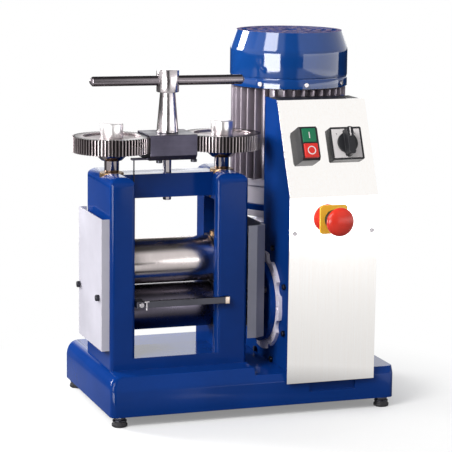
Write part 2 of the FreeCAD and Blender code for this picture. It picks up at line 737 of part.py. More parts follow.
def chock(side, roll_z, low_z, high_z):
    half = WINDOW_WIDTH / 2 - SLIDING
    x = post_span(side)
    body = block(x, (ROLL_Y - half, ROLL_Y + half), (low_z, high_z))
    body = body.makeChamfer(CHOCK_EDGE, run_along(body, X_AXIS))
    return body.cut(rod(BUSH_RADIUS + RUNNING, (x[0] - 1, ROLL_Y, roll_z), X_AXIS, x[1] - x[0] + 2))


def lower_chock(side):
    return chock(side, LOWER_ROLL_Z, WINDOW_LOW_Z, LOWER_ROLL_Z + CHOCK_HALF_HEIGHT)


def upper_chock(side):
    low = UPPER_ROLL_Z - CHOCK_HALF_HEIGHT + CHOCK_HEAD_ROOM
    return chock(side, UPPER_ROLL_Z, low, CHOCK_TOP_Z)


def bushes(roll_z):
    pieces = []
    for side in ("left", "right"):
        low, high = post_span(side)
        pieces.append(tube(BUSH_RADIUS, BUSH_BORE, (low, ROLL_Y, roll_z), X_AXIS, high - low))
    return pieces


def thrust_pads():
    return [rod(PAD_RADIUS, (x, ROLL_Y, CHOCK_TOP_Z), Z_AXIS, PAD_HEIGHT) for x in SCREW_XS.values()]


def roll_profile(end_x, extra):
    """Half section of a roll along X, from its left neck to its drive end."""
    start = STAND_LEFT_X - NECK_OVERHANG
    face_left = STAND_CENTRE_X - ROLL_FACE / 2
    face_right = face_left + ROLL_FACE
    collar_left = LEFT_INNER_X - SLIDING + SEAT_GAP
    collar_right = RIGHT_INNER_X + SLIDING - SEAT_GAP
    corners = [(start, NECK_RADIUS - ROLL_EDGE), (start + ROLL_EDGE, NECK_RADIUS),
               (collar_left, NECK_RADIUS), (collar_left, SHOULDER_RADIUS),
               (face_left, SHOULDER_RADIUS), (face_left, ROLL_RADIUS - ROLL_EDGE),
               (face_left + ROLL_EDGE, ROLL_RADIUS), (face_right - ROLL_EDGE, ROLL_RADIUS),
               (face_right, ROLL_RADIUS - ROLL_EDGE), (face_right, SHOULDER_RADIUS),
               (collar_right, SHOULDER_RADIUS), (collar_right, NECK_RADIUS),
               (STAND_RIGHT_X + ROLL_GEAR_GAP / 2, NECK_RADIUS),
               (STAND_RIGHT_X + ROLL_GEAR_GAP / 2, GEAR_SEAT_RADIUS)] + extra
    return [(x - start, radius) for x, radius in corners + [(end_x, corners[-1][1])]], start


def lower_roll():
    extra = [(ROLL_GEAR_END_X, GEAR_SEAT_RADIUS), (ROLL_GEAR_END_X, DRIVE_STUB_RADIUS)]
    profile, start = roll_profile(DRIVE_STUB_END_X, extra)
    return turned(profile, (start, ROLL_Y, LOWER_ROLL_Z), X_AXIS)


def upper_roll():
    profile, start = roll_profile(ROLL_GEAR_END_X, [])
    return turned(profile, (start, ROLL_Y, UPPER_ROLL_Z), X_AXIS)


def roll_gear(roll_z, half_pitch):
    gear = spur_gear(ROLL_GEAR_MODULE, ROLL_GEAR_TEETH, ROLL_GEAR_WIDTH, ROLL_GEAR_BACKLASH,
                     ROLL_GEAR_TIP, ROLL_GEAR_ROOT, 3, half_pitch)
    gear = gear.cut(rod(GEAR_SEAT_RADIUS + RUNNING, (0, 0, -1), Z_AXIS, ROLL_GEAR_WIDTH + 2))
    return aimed(gear, (ROLL_GEAR_X, ROLL_Y, roll_z), X_AXIS)


# Screwdown

def screw(side):
    tip_z = PAD_TOP_Z + SEAT_GAP
    collar_z = SCREW_GEAR_Z - COLLAR_HEIGHT
    web_top = SCREW_GEAR_TOP_Z - SCREW_GEAR_RECESS
    corners = [(tip_z, SCREW_TIP_RADIUS), (tip_z + 3, SCREW_RADIUS), (collar_z, SCREW_RADIUS),
               (collar_z, COLLAR_NECK_RADIUS), (SCREW_GEAR_Z - COLLAR_RIM, COLLAR_RADIUS),
               (SCREW_GEAR_Z, COLLAR_RADIUS), (SCREW_GEAR_Z, SCREW_SEAT_RADIUS),
               (web_top, SCREW_SEAT_RADIUS), (web_top, DIAL_RADIUS),
               (web_top + DIAL_HEIGHT - DIAL_EDGE, DIAL_RADIUS),
               (web_top + DIAL_HEIGHT, DIAL_RADIUS - DIAL_EDGE)]
    profile = [(z - tip_z, radius) for z, radius in corners]
    return turned(profile, (SCREW_XS[side], ROLL_Y, tip_z), Z_AXIS)


def screw_gear(side):
    gear = spur_gear(SCREW_GEAR_MODULE, SCREW_GEAR_TEETH, SCREW_GEAR_WIDTH, SCREW_GEAR_BACKLASH,
                     half_pitch=(side == "right"))
    gear = gear.cut(rod(SCREW_SEAT_RADIUS + RUNNING, (0, 0, -1), Z_AXIS, SCREW_GEAR_WIDTH + 2))
    recess = rod(SCREW_GEAR_RECESS_RADIUS, (0, 0, SCREW_GEAR_WIDTH - SCREW_GEAR_RECESS), Z_AXIS,
                 SCREW_GEAR_RECESS + 1)
    return aimed(gear.cut(recess), (SCREW_XS[side], ROLL_Y, SCREW_GEAR_Z), Z_AXIS)


def carrier_screw_spots():
    return [(STAND_CENTRE_X + CARRIER_SCREW_SHIFT + x, ROLL_Y + y)
            for x, y in mirrored_spots(CARRIER_SCREW_SPREAD_X / 2, CARRIER_SCREW_SPREAD_Y / 2)]


def gear_carrier():
    """A bridge round the pinion, open at both ends for the screw gears."""
    half_x, half_y = CARRIER_WIDTH / 2, CARRIER_DEPTH / 2
    x = (STAND_CENTRE_X - half_x, STAND_CENTRE_X + half_x)
    body = block(x, (ROLL_Y - half_y, ROLL_Y + half_y), (CARRIER_LOW_Z, CARRIER_TOP_Z))
    under = [edge for edge in run_along(body, X_AXIS) if near(edge.CenterOfMass.z, CARRIER_LOW_Z)]
    body = body.makeChamfer(CARRIER_BEVEL, under)
    inside = block((x[0] - 1, x[1] + 1), (ROLL_Y - half_y + CARRIER_WALL, ROLL_Y + half_y - CARRIER_WALL),
                   (CARRIER_LOW_Z + CARRIER_BOTTOM, CARRIER_TOP_Z - CARRIER_TOP))
    lug = block((POINTER_X - LUG_WIDTH / 2, x[0] + 1),
                (POINTER_Y - LUG_WIDTH / 2, POINTER_Y + LUG_WIDTH / 2),
                (CARRIER_LOW_Z, CARRIER_LOW_Z + LUG_THICKNESS))
    bore = rod(JOURNAL_RADIUS + RUNNING, (STAND_CENTRE_X, ROLL_Y, CARRIER_LOW_Z - 1), Z_AXIS,
               CARRIER_TOP_Z - CARRIER_LOW_Z + 2)
    return fused([body.cut(inside), lug]).cut(bore)


def carrier_screws():
    return Part.Compound([rod(CARRIER_SCREW_RADIUS, (x, y, CARRIER_LOW_Z - CARRIER_SCREW_HEAD), Z_AXIS,
                              CARRIER_SCREW_HEAD) for x, y in carrier_screw_spots()])


def gap_pointer():
    return rod(POINTER_RADIUS, (POINTER_X, POINTER_Y, POINTER_LOW_Z), Z_AXIS, CARRIER_LOW_Z - POINTER_LOW_Z)


def drive_pinion():
    pinion = spur_gear(SCREW_GEAR_MODULE, PINION_TEETH, SCREW_GEAR_WIDTH, SCREW_GEAR_BACKLASH, steps=2)
    pinion = pinion.cut(rod(JOURNAL_RADIUS + RUNNING, (0, 0, -1), Z_AXIS, SCREW_GEAR_WIDTH + 2))
    return aimed(pinion, (STAND_CENTRE_X, ROLL_Y, SCREW_GEAR_Z), Z_AXIS)


def bar_direction():
    turn = math.radians(BAR_TURN)
    return (math.cos(turn), math.sin(turn), 0)


def bar_start():
    dx, dy, dz = bar_direction()
    return (STAND_CENTRE_X - dx * BAR_LENGTH / 2, ROLL_Y - dy * BAR_LENGTH / 2, BAR_Z)


def handle_spindle():
    foot_z = CARRIER_TOP_Z + SEAT_GAP
    journal_z = CARRIER_LOW_Z - SEAT_GAP
    corners = [(TAIL_LOW_Z, TAIL_RADIUS), (journal_z, TAIL_RADIUS), (journal_z, JOURNAL_RADIUS),
               (foot_z, JOURNAL_RADIUS), (foot_z, TAPER_FOOT_RADIUS),
               (foot_z + TAPER_FLARE, TAPER_LOW_RADIUS), (TAPER_TOP_Z, TAPER_TOP_RADIUS),
               (TAPER_TOP_Z, HUB_RADIUS), (HUB_TOP_Z - HUB_EDGE, HUB_RADIUS),
               (HUB_TOP_Z, HUB_RADIUS - HUB_EDGE)]
    profile = [(z - TAIL_LOW_Z, radius) for z, radius in corners]
    spindle = turned(profile, (STAND_CENTRE_X, ROLL_Y, TAIL_LOW_Z), Z_AXIS)
    return spindle.cut(rod(BAR_RADIUS + RUNNING, bar_start(), bar_direction(), BAR_LENGTH))


def handle_bar():
    end = BAR_RADIUS / 3
    profile = [(0, end), (BAR_POINT, BAR_RADIUS), (BAR_LENGTH - BAR_POINT, BAR_RADIUS), (BAR_LENGTH, end)]
    return turned(profile, bar_start(), bar_direction())


# Feed rest

def feed_rest():
    y = (POST_FRONT_Y - REST_THICKNESS, POST_FRONT_Y)
    z = (REST_TOP_Z - REST_HEIGHT, REST_TOP_Z)
    end_x = RIGHT_INNER_X - LIP_WIDTH + REST_OVERLAP
    bar = block((LEFT_INNER_X, end_x), y, z)
    end = block((end_x - REST_END_WIDTH, end_x), (y[0] - REST_END_PROUD, y[1]),
                (z[0] - REST_END_PROUD, z[1] + REST_END_PROUD))
    seat = block((LEFT_INNER_X, LEFT_INNER_X + REST_BLOCK_LENGTH), (y[0], y[1] + REST_BLOCK_DEPTH), z)
    return fused([bar, end, seat])


def feed_rest_screws():
    """A button head screw, and beside it a small tee handled screw."""
    front = POST_FRONT_Y - REST_THICKNESS
    middle = REST_TOP_Z - REST_HEIGHT / 2
    round_x = LEFT_INNER_X + REST_BLOCK_LENGTH / 2
    button = rod(REST_SCREW_RADIUS, (round_x, front - REST_SCREW_HEAD, middle), Y_AXIS, REST_SCREW_HEAD)
    tee_x = round_x + REST_TEE_SPACING
    tee_y = front - REST_TEE_RADIUS
    stem = rod(REST_TEE_RADIUS, (tee_x, tee_y, REST_TOP_Z - REST_TEE_LENGTH), Z_AXIS, REST_TEE_LENGTH)
    cross = rod(REST_TEE_RADIUS, (tee_x - REST_SCREW_RADIUS, tee_y, REST_TOP_Z), X_AXIS,
                2 * REST_SCREW_RADIUS)
    return [button, fused([stem, cross])]


# Sheet covers

def left_gear_cover():
    outer_x = STAND_LEFT_X - LEFT_COVER_REACH
    z = (LEFT_COVER_LOW_Z, LEFT_COVER_TOP_Z)
    shell = block((outer_x, STAND_LEFT_X), (LEFT_COVER_FRONT_Y, LEFT_COVER_REAR_Y), z)
    inside = block((outer_x + COVER_SHEET, STAND_LEFT_X + 1),
                   (LEFT_COVER_FRONT_Y + COVER_SHEET, LEFT_COVER_REAR_Y - COVER_SHEET),
                   (z[0] - 1, z[1] + 1))
    cover = shell.cut(inside)
    for y in LEFT_COVER_SCREW_YS:
        cover = cover.cut(rod(COVER_SCREW_RADIUS + RUNNING, (outer_x - 1, y, COVER_SCREW_Z), X_AXIS,
                              COVER_SHEET + 2))
    return cover


def right_cover_outline(inset, low_z):
    """Plan of the right cover, drawn in by the inset on its three closed sides."""
    x0, x1 = STAND_RIGHT_X - inset, STAND_RIGHT_X + RIGHT_COVER_REACH - inset
    bend = STAND_RIGHT_X + RIGHT_COVER_BEND - inset / 4
    front, rear = RIGHT_COVER_FRONT_Y + inset, RIGHT_COVER_REAR_Y - inset
    slope = RIGHT_COVER_SLOPE - inset / 4
    return [(x0, front, low_z), (bend, front, low_z), (x1, front + slope, low_z),
            (x1, rear - slope, low_z), (bend, rear, low_z), (x0, rear, low_z)]


def right_gear_cover():
    height = RIGHT_COVER_TOP_Z - RIGHT_COVER_LOW_Z
    shell = prism(right_cover_outline(0, RIGHT_COVER_LOW_Z), (0, 0, height))
    inside = prism(right_cover_outline(COVER_SHEET, RIGHT_COVER_LOW_Z - 1), (0, 0, height + 2))
    wall_x = STAND_RIGHT_X + RIGHT_COVER_REACH - COVER_SHEET - 1
    cover = shell.cut(inside)
    cover = cover.cut(rod(COVER_HOLE_RADIUS, (wall_x, ROLL_Y, LOWER_ROLL_Z), X_AXIS, COVER_SHEET + 2))
    for y in RIGHT_COVER_SCREW_YS:
        cover = cover.cut(rod(COVER_SCREW_RADIUS + RUNNING, (wall_x, y, COVER_SCREW_Z), X_AXIS,
                              COVER_SHEET + 2))
    return cover


def cover_screw(y, face_x, seat_x, out):
    """One pan head screw from the cover's face into the post."""
    head_x = face_x if out > 0 else face_x - COVER_SCREW_HEAD
    head = rod(COVER_SCREW_HEAD_RADIUS, (head_x, y, COVER_SCREW_Z), X_AXIS, COVER_SCREW_HEAD)
    start, end = sorted((face_x, seat_x - out * COVER_SCREW_DEPTH))
    shank = rod(COVER_SCREW_RADIUS, (start, y, COVER_SCREW_Z), X_AXIS, end - start)
    return fused([head, shank])


def panel_screw(x):
    head = rod(PANEL_SCREW_HEAD_RADIUS, (x, PANEL_FRONT_Y - PANEL_SCREW_HEAD, PANEL_SCREW_Z), Y_AXIS,
               PANEL_SCREW_HEAD)
    shank = rod(PANEL_SCREW_RADIUS, (x, PANEL_FRONT_Y, PANEL_SCREW_Z), Y_AXIS,
                PANEL_SHEET + PANEL_SCREW_DEPTH)
    return fused([head, shank])


def sheet_metal_screws():
    left = [cover_screw(y, STAND_LEFT_X - LEFT_COVER_REACH, STAND_LEFT_X, -1)
            for y in LEFT_COVER_SCREW_YS]
    right = [cover_screw(y, STAND_RIGHT_X + RIGHT_COVER_REACH, STAND_RIGHT_X, 1)
             for y in RIGHT_COVER_SCREW_YS]
    return Part.Compound(left + right + [panel_screw(x) for x in panel_screw_xs()])


# Cabinet

def panel_screw_xs():
    return (LEFT_PLATE_X + SIDE_PLATE / 2, RIGHT_PLATE_X - SIDE_PLATE / 2)


def panel_line(depth):
    """The panel's bend and top at some depth behind its outer face, as (y, z)."""
    rise = (PANEL_TOP_Z - BEND_Z) / SLOPE_LENGTH
    run = PANEL_LEAN / SLOPE_LENGTH
    bend = (PANEL_FRONT_Y + depth, BEND_Z - depth * run / (1 + rise))
    top_y = PANEL_TOP_Y + depth / rise
    return bend, top_y


def front_panel():
    bend, top_y = panel_line(PANEL_SHEET)
    corners = [(PANEL_LEFT_X, PANEL_FRONT_Y, PANEL_LOW_Z), (PANEL_LEFT_X, PANEL_FRONT_Y, BEND_Z),
               (PANEL_LEFT_X, PANEL_TOP_Y, PANEL_TOP_Z), (PANEL_LEFT_X, top_y, PANEL_TOP_Z),
               (PANEL_LEFT_X, bend[0], bend[1]), (PANEL_LEFT_X, bend[0], PANEL_LOW_Z)]
    panel = prism(corners, (PANEL_WIDTH, 0, 0))
    places = [(HOUSING_CENTRE_X, START_ALONG), (HOUSING_CENTRE_X, STOP_ALONG), (SELECTOR_X, SELECTOR_ALONG)]
    holes = [on_slope(rod(BUTTON_STEM_RADIUS + SLIDING, (x, along, -PANEL_SHEET - 1), Z_AXIS,
                          PANEL_SHEET + 2)) for x, along in places]
    holes.append(rod(ESTOP_STEM_RADIUS + SLIDING, (ESTOP_X, PANEL_FRONT_Y - 1, ESTOP_Z), Y_AXIS,
                     PANEL_SHEET + 2))
    for x in panel_screw_xs():
        holes.append(rod(PANEL_SCREW_RADIUS + RUNNING, (x, PANEL_FRONT_Y - 1, PANEL_SCREW_Z), Y_AXIS,
                         PANEL_SHEET + 2))
    for hole in holes:
        panel = panel.cut(hole)
    return panel


def side_outline(x, rear_y, low_z, top_z):
    """Side of the cabinet, lying against the back of the bent panel."""
    bend, top_y = panel_line(PANEL_SHEET)
    slope = (top_y - bend[0]) / (PANEL_TOP_Z - bend[1])
    high_y = bend[0] + slope * (top_z - bend[1])
    return [(x, bend[0], low_z), (x, bend[0], bend[1]), (x, high_y, top_z), (x, rear_y, top_z),
            (x, rear_y, low_z)]


def cabinet_left_side():
    """The thick plate that also carries the reducer, longer at the foot than at the top."""
    top_z = PANEL_TOP_Z - TOP_PLATE
    upper = prism(side_outline(LEFT_PLATE_X, SIDE_REAR_Y, CABINET_FLOOR_Z, top_z), (SIDE_PLATE, 0, 0))
    lower = block((LEFT_PLATE_X, LEFT_PLATE_X + SIDE_PLATE), (SIDE_REAR_Y - 1, DRIVE_PLATE_REAR_Y),
                  (CABINET_FLOOR_Z, DRIVE_PLATE_TOP_Z))
    plate = fused([upper, lower])
    plate = plate.cut(rod(HOLLOW_SHAFT_RADIUS + SEAT_GAP, (LEFT_PLATE_X - 1, ROLL_Y, LOWER_ROLL_Z),
                          X_AXIS, SIDE_PLATE + 2))
    for y, z in flange_bolt_spots():
        plate = plate.cut(rod(FLANGE_BOLT_RADIUS + RUNNING, (LEFT_PLATE_X - 1, y, z), X_AXIS,
                              SIDE_PLATE + 2))
    return plate.cut(panel_screw_hole(panel_screw_xs()[0]))


def panel_screw_hole(x):
    return rod(PANEL_SCREW_RADIUS + RUNNING, (x, PANEL_FRONT_Y, PANEL_SCREW_Z), Y_AXIS,
               PANEL_SHEET + PANEL_SCREW_DEPTH + SEAT_GAP)


def cabinet_rear_shell():
    """Right side and back of the cabinet, folded from one plate."""
    top_z = PANEL_TOP_Z - TOP_PLATE
    side = prism(side_outline(RIGHT_PLATE_X - SIDE_PLATE, SIDE_REAR_Y, CABINET_FLOOR_Z, top_z),
                 (SIDE_PLATE, 0, 0))
    back = block((LEFT_PLATE_X + SIDE_PLATE, RIGHT_PLATE_X - 1), (BACK_Y, BACK_Y + BACK_SHEET),
                 (DRIVE_PLATE_TOP_Z, top_z))
    shell = fused([side, back]).cut(panel_screw_hole(panel_screw_xs()[1]))
    return shell.cut(rod(GLAND_THREAD_RADIUS + RUNNING, (RIGHT_PLATE_X - SIDE_PLATE - 1, GLAND_Y, GLAND_Z),
                         X_AXIS, SIDE_PLATE + 2))


def cabinet_top_plate():
    rise = (PANEL_TOP_Z - BEND_Z) / SLOPE_LENGTH
    front_high = PANEL_TOP_Y + PANEL_SHEET / rise
    front_low = front_high - TOP_PLATE * PANEL_LEAN / (PANEL_TOP_Z - BEND_Z)
    low_z = PANEL_TOP_Z - TOP_PLATE
    corners = [(LEFT_PLATE_X, front_low, low_z), (LEFT_PLATE_X, front_high, PANEL_TOP_Z),
               (LEFT_PLATE_X, BACK_Y + BACK_SHEET, PANEL_TOP_Z), (LEFT_PLATE_X, BACK_Y + BACK_SHEET, low_z)]
    return prism(corners, (RIGHT_PLATE_X - LEFT_PLATE_X, 0, 0))


# Controls

def on_slope(shape):
    """Move a shape drawn with X across, Y up the slope and Z outwards onto the sloped panel."""
    turn = FreeCAD.Rotation(V(*X_AXIS), SLOPE_TURN)
    shape.Placement = FreeCAD.Placement(V(0, PANEL_FRONT_Y, BEND_Z), turn).multiply(shape.Placement)
    return shape


def switch_housing():
    half = HOUSING_WIDTH / 2
    x = (HOUSING_CENTRE_X - half, HOUSING_CENTRE_X + half)
    along = (HOUSING_LOW, HOUSING_LOW + HOUSING_LENGTH)
    body = block(x, along, (0, HOUSING_HEIGHT))
    corners = [edge for edge in run_along(body, X_AXIS) if near(edge.CenterOfMass.z, HOUSING_HEIGHT)]
    body = body.makeChamfer(HOUSING_EDGE, corners)
    half_width = BUTTON_WIDTH / 2 + SEAT_GAP
    half_length = BUTTON_LENGTH / 2 + SEAT_GAP
    for place in (START_ALONG, STOP_ALONG):
        pocket = block((HOUSING_CENTRE_X - half_width, HOUSING_CENTRE_X + half_width),
                       (place - half_length, place + half_length), (HOUSING_WALL, HOUSING_HEIGHT + 1))
        stem = rod(BUTTON_STEM_RADIUS + SLIDING, (HOUSING_CENTRE_X, place, -1), Z_AXIS, HOUSING_WALL + 2)
        body = body.cut(pocket).cut(stem)
    return on_slope(body)


def push_button(along, proud):
    half = BUTTON_WIDTH / 2
    top = HOUSING_HEIGHT + proud
    cap = block((HOUSING_CENTRE_X - half, HOUSING_CENTRE_X + half),
                (along - BUTTON_LENGTH / 2, along + BUTTON_LENGTH / 2), (top - BUTTON_THICKNESS, top))
    cap = cap.makeFillet(BUTTON_EDGE, run_along(cap, Z_AXIS))
    low = -PANEL_SHEET - BUTTON_TRAVEL
    stem = rod(BUTTON_STEM_RADIUS, (HOUSING_CENTRE_X, along, low), Z_AXIS, top - BUTTON_THICKNESS - low)
    return on_slope(fused([cap, stem]))


def selector_plate():
    half = SELECTOR_SIZE / 2
    inner = half - SELECTOR_BORDER
    middle_x, middle = SELECTOR_X, SELECTOR_ALONG
    body = block((middle_x - half, middle_x + half), (middle - half, middle + half), (0, SELECTOR_HEIGHT))
    body = body.makeFillet(SELECTOR_BORDER, run_along(body, Z_AXIS))
    field = block((middle_x - inner, middle_x + inner), (middle - inner, middle + inner),
                  (SELECTOR_HEIGHT - SELECTOR_RECESS, SELECTOR_HEIGHT + 1))
    bore = rod(BUTTON_STEM_RADIUS + RUNNING, (middle_x, middle, -1), Z_AXIS, SELECTOR_HEIGHT + 2)
    return on_slope(body.cut(field).cut(bore))


def selector_knob():
    base_h = SELECTOR_HEIGHT + SEAT_GAP
    disc = rod(KNOB_RADIUS, (SELECTOR_X, SELECTOR_ALONG, base_h), Z_AXIS, KNOB_DISC)
    half_x, half_y = KNOB_GRIP_WIDTH / 2, KNOB_GRIP_LENGTH / 2
    grip = block((SELECTOR_X - half_x, SELECTOR_X + half_x),
                 (SELECTOR_ALONG - half_y, SELECTOR_ALONG + half_y),
                 (base_h, base_h + KNOB_DISC + KNOB_GRIP_HEIGHT))
    grip = grip.makeFillet(KNOB_GRIP_CORNER, run_along(grip, Z_AXIS))
    stem_low = -PANEL_SHEET - STEM_REACH
    stem = rod(BUTTON_STEM_RADIUS, (SELECTOR_X, SELECTOR_ALONG, stem_low), Z_AXIS, base_h - stem_low)
    return on_slope(fused([disc, grip, stem]))


def estop_plate():
    half = ESTOP_PLATE / 2
    y = (PANEL_FRONT_Y - ESTOP_PLATE_THICKNESS, PANEL_FRONT_Y)
    plate = block((ESTOP_X - half, ESTOP_X + half), y, (ESTOP_Z - half, ESTOP_Z + half))
    plate = plate.makeFillet(ESTOP_PLATE_CORNER, run_along(plate, Y_AXIS))
    return plate.cut(rod(ESTOP_STEM_RADIUS + SLIDING, (ESTOP_X, y[0] - 1, ESTOP_Z), Y_AXIS,
                         ESTOP_PLATE_THICKNESS + 2))


def estop_collar():
    start = PANEL_FRONT_Y - ESTOP_PLATE_THICKNESS - ESTOP_COLLAR
    return tube(ESTOP_COLLAR_RADIUS, ESTOP_STEM_RADIUS + SLIDING, (ESTOP_X, start, ESTOP_Z), Y_AXIS,
                ESTOP_COLLAR)


def estop_back_y():
    """Rear face of the mushroom head at rest, its travel and a gap away from the collar."""
    return PANEL_FRONT_Y - ESTOP_PLATE_THICKNESS - ESTOP_COLLAR - ESTOP_TRAVEL - SEAT_GAP


def estop_stem():
    shoulder = estop_back_y() + SEAT_GAP
    body = rod(ESTOP_STEM_RADIUS, (ESTOP_X, shoulder, ESTOP_Z), Y_AXIS,
               PANEL_FRONT_Y + PANEL_SHEET + STEM_REACH - shoulder)
    nose = rod(ESTOP_NOSE_RADIUS, (ESTOP_X, shoulder - ESTOP_NOSE, ESTOP_Z), Y_AXIS, ESTOP_NOSE)
    return fused([body, nose])


def estop_mushroom():
    rim = ESTOP_HEAD_CONE + ESTOP_HEAD_RIM
    top = rim + ESTOP_HEAD_DOME
    back = estop_back_y()
    profile = [(0, ESTOP_HEAD_BACK_RADIUS), (ESTOP_HEAD_CONE, ESTOP_HEAD_RADIUS), (rim, ESTOP_HEAD_RADIUS),
               (rim + ESTOP_DOME_STEP, ESTOP_DOME_STEP_RADIUS), (top, ESTOP_CROWN_RADIUS)]
    head = turned(profile, (ESTOP_X, back, ESTOP_Z), (0, -1, 0))
    return head.cut(rod(ESTOP_NOSE_RADIUS + RUNNING, (ESTOP_X, back - ESTOP_NOSE, ESTOP_Z), Y_AXIS,
                        ESTOP_NOSE + 1))


def button_contacts():
    half = HOUSING_WIDTH / 2
    x = (HOUSING_CENTRE_X - half, HOUSING_CENTRE_X + half)
    along = (HOUSING_LOW, HOUSING_LOW + HOUSING_LENGTH)
    body = block(x, along, (-PANEL_SHEET - CONTACT_DEPTH, -PANEL_SHEET))
    pocket = block((x[0] + CONTACT_WALL, x[1] - CONTACT_WALL),
                   (along[0] + CONTACT_WALL, along[1] - CONTACT_WALL),
                   (-PANEL_SHEET - 2 * BUTTON_TRAVEL - STEM_REACH / 2, 0))
    return on_slope(body.cut(pocket))


def selector_contacts():
    half = SELECTOR_SIZE / 2 - CONTACT_WALL
    body = block((SELECTOR_X - half, SELECTOR_X + half), (SELECTOR_ALONG - half, SELECTOR_ALONG + half),
                 (-PANEL_SHEET - CONTACT_DEPTH, -PANEL_SHEET))
    return on_slope(body.cut(rod(BUTTON_STEM_RADIUS + SLIDING,
                                 (SELECTOR_X, SELECTOR_ALONG, -PANEL_SHEET - STEM_REACH - SEAT_GAP),
                                 Z_AXIS, STEM_REACH + 1)))


def estop_contacts():
    half = ESTOP_COLLAR_RADIUS + CONTACT_WALL
    back = PANEL_FRONT_Y + PANEL_SHEET
    body = block((ESTOP_X - half, ESTOP_X + half), (back, back + CONTACT_DEPTH),
                 (ESTOP_Z - half, ESTOP_Z + half))
    return body.cut(rod(ESTOP_STEM_RADIUS + SLIDING, (ESTOP_X, back - 1, ESTOP_Z), Y_AXIS,
                        STEM_REACH + ESTOP_TRAVEL + SEAT_GAP + 1))


def contact_blocks():
    return Part.Compound([button_contacts(), selector_contacts(), estop_contacts()])


# Worm reducer

def upright(radius, low_z, high_z):
    """A cylinder on the motor's axis."""
    return rod(radius, (MOTOR_X, MOTOR_Y, low_z), Z_AXIS, high_z - low_z)


def between_lobes(radius):
    """Spots (y, z) at the bolts' angles, on a circle round the lower roll's axis."""
    return [round_axis(radius, 2 * math.pi * (k + 0.5) / FLANGE_BOLT_COUNT)
            for k in range(FLANGE_BOLT_COUNT)]


def flange_bolt_spots():
    return between_lobes(FLANGE_BOLT_CIRCLE)


def gearbox_housing():
    drum_x = FLANGE_X + FLANGE_THICKNESS
    above = block((0, BASE_LENGTH), (-BASE_DEPTH, BASE_DEPTH), (CABINET_FLOOR_Z, STAND_TOP_Z))
    flange = rod(FLANGE_RADIUS, (FLANGE_X, ROLL_Y, LOWER_ROLL_Z), X_AXIS, FLANGE_THICKNESS).common(above)
    drum = rod(DRUM_RADIUS, (drum_x, ROLL_Y, LOWER_ROLL_Z), X_AXIS, DRUM_LENGTH)
    feet = block((drum_x + FOOT_PAD_INSET, DRUM_END_X - FOOT_PAD_INSET),
                 (ROLL_Y - FOOT_PAD_FRONT, ROLL_Y + FOOT_PAD_REAR),
                 (CABINET_FLOOR_Z, CABINET_FLOOR_Z + FOOT_PAD_HEIGHT))
    tower = upright(TOWER_RADIUS, CABINET_FLOOR_Z, GEARBOX_TOP_Z)
    neck = upright(TOWER_FLANGE_RADIUS, GEARBOX_TOP_Z - TOWER_FLANGE, GEARBOX_TOP_Z)
    housing = fused([drum, feet, tower, neck, flange])
    for cutter in gearbox_cavities():
        housing = housing.cut(cutter)
    for y, z in flange_bolt_spots():
        housing = housing.cut(rod(FLANGE_BOLT_RADIUS + RUNNING, (FLANGE_X - 1, y, z), X_AXIS,
                                  FLANGE_THICKNESS + 1))
    return housing


def gearbox_cavities():
    wheel_tip = WHEEL_MODULE * (WHEEL_TEETH + 2) / 2 + CHAMBER_CLEAR
    half = WHEEL_WIDTH / 2 + CHAMBER_CLEAR
    wheel = rod(wheel_tip, (MOTOR_X - half, ROLL_Y, LOWER_ROLL_Z), X_AXIS, 2 * half)
    shaft = rod(HOLLOW_SHAFT_RADIUS + RUNNING, (FLANGE_X - 1, ROLL_Y, LOWER_ROLL_Z), X_AXIS,
                DRUM_END_X - FLANGE_X + 2)
    worm = upright(WORM_RADIUS + 2 * CHAMBER_CLEAR, WORM_LOW_Z - CHAMBER_CLEAR, WORM_HIGH_Z + CHAMBER_CLEAR)
    foot = upright(WORM_END_RADIUS + RUNNING, WORM_LOW_Z - WORM_END - SEAT_GAP, WORM_LOW_Z)
    neck = upright(WORM_NECK_RADIUS + RUNNING, WORM_HIGH_Z, GEARBOX_TOP_Z + 1)
    return [wheel, shaft, worm, foot, neck]


def worm_wheel():
    """Bronze rim on the reducer's hollow shaft."""
    rim = spur_gear(WHEEL_MODULE, WHEEL_TEETH, WHEEL_WIDTH, WHEEL_BACKLASH)
    rim = aimed(rim, (MOTOR_X - WHEEL_WIDTH / 2, ROLL_Y, LOWER_ROLL_Z), X_AXIS)
    end_x = DRUM_END_X + SEAT_GAP
    shaft = rod(HOLLOW_SHAFT_RADIUS, (HOLLOW_SHAFT_X, ROLL_Y, LOWER_ROLL_Z), X_AXIS, end_x - HOLLOW_SHAFT_X)
    whole = fused([rim, shaft])
    return whole.cut(rod(DRIVE_STUB_RADIUS + RUNNING, (HOLLOW_SHAFT_X - 1, ROLL_Y, LOWER_ROLL_Z), X_AXIS,
                         end_x - HOLLOW_SHAFT_X + 2))


def worm_shaft():
    top_z = GEARBOX_TOP_Z - CHAMBER_CLEAR
    corners = [(WORM_LOW_Z - WORM_END, WORM_END_RADIUS), (WORM_LOW_Z, WORM_END_RADIUS),
               (WORM_LOW_Z, WORM_RADIUS), (WORM_HIGH_Z, WORM_RADIUS), (WORM_HIGH_Z, WORM_NECK_RADIUS),
               (top_z, WORM_NECK_RADIUS)]
    start = corners[0][0]
    profile = [(z - start, radius) for z, radius in corners]
    worm = turned(profile, (MOTOR_X, MOTOR_Y, start), Z_AXIS)
    return worm.cut(rod(MOTOR_SHAFT_RADIUS + RUNNING, (MOTOR_X, MOTOR_Y, WORM_HIGH_Z), Z_AXIS,
                        top_z - WORM_HIGH_Z + 1))


def round_axis(radius, turn):
    """A spot (y, z) on a circle round the lower roll's axis."""
    return ROLL_Y + radius * math.cos(turn), LOWER_ROLL_Z + radius * math.sin(turn)


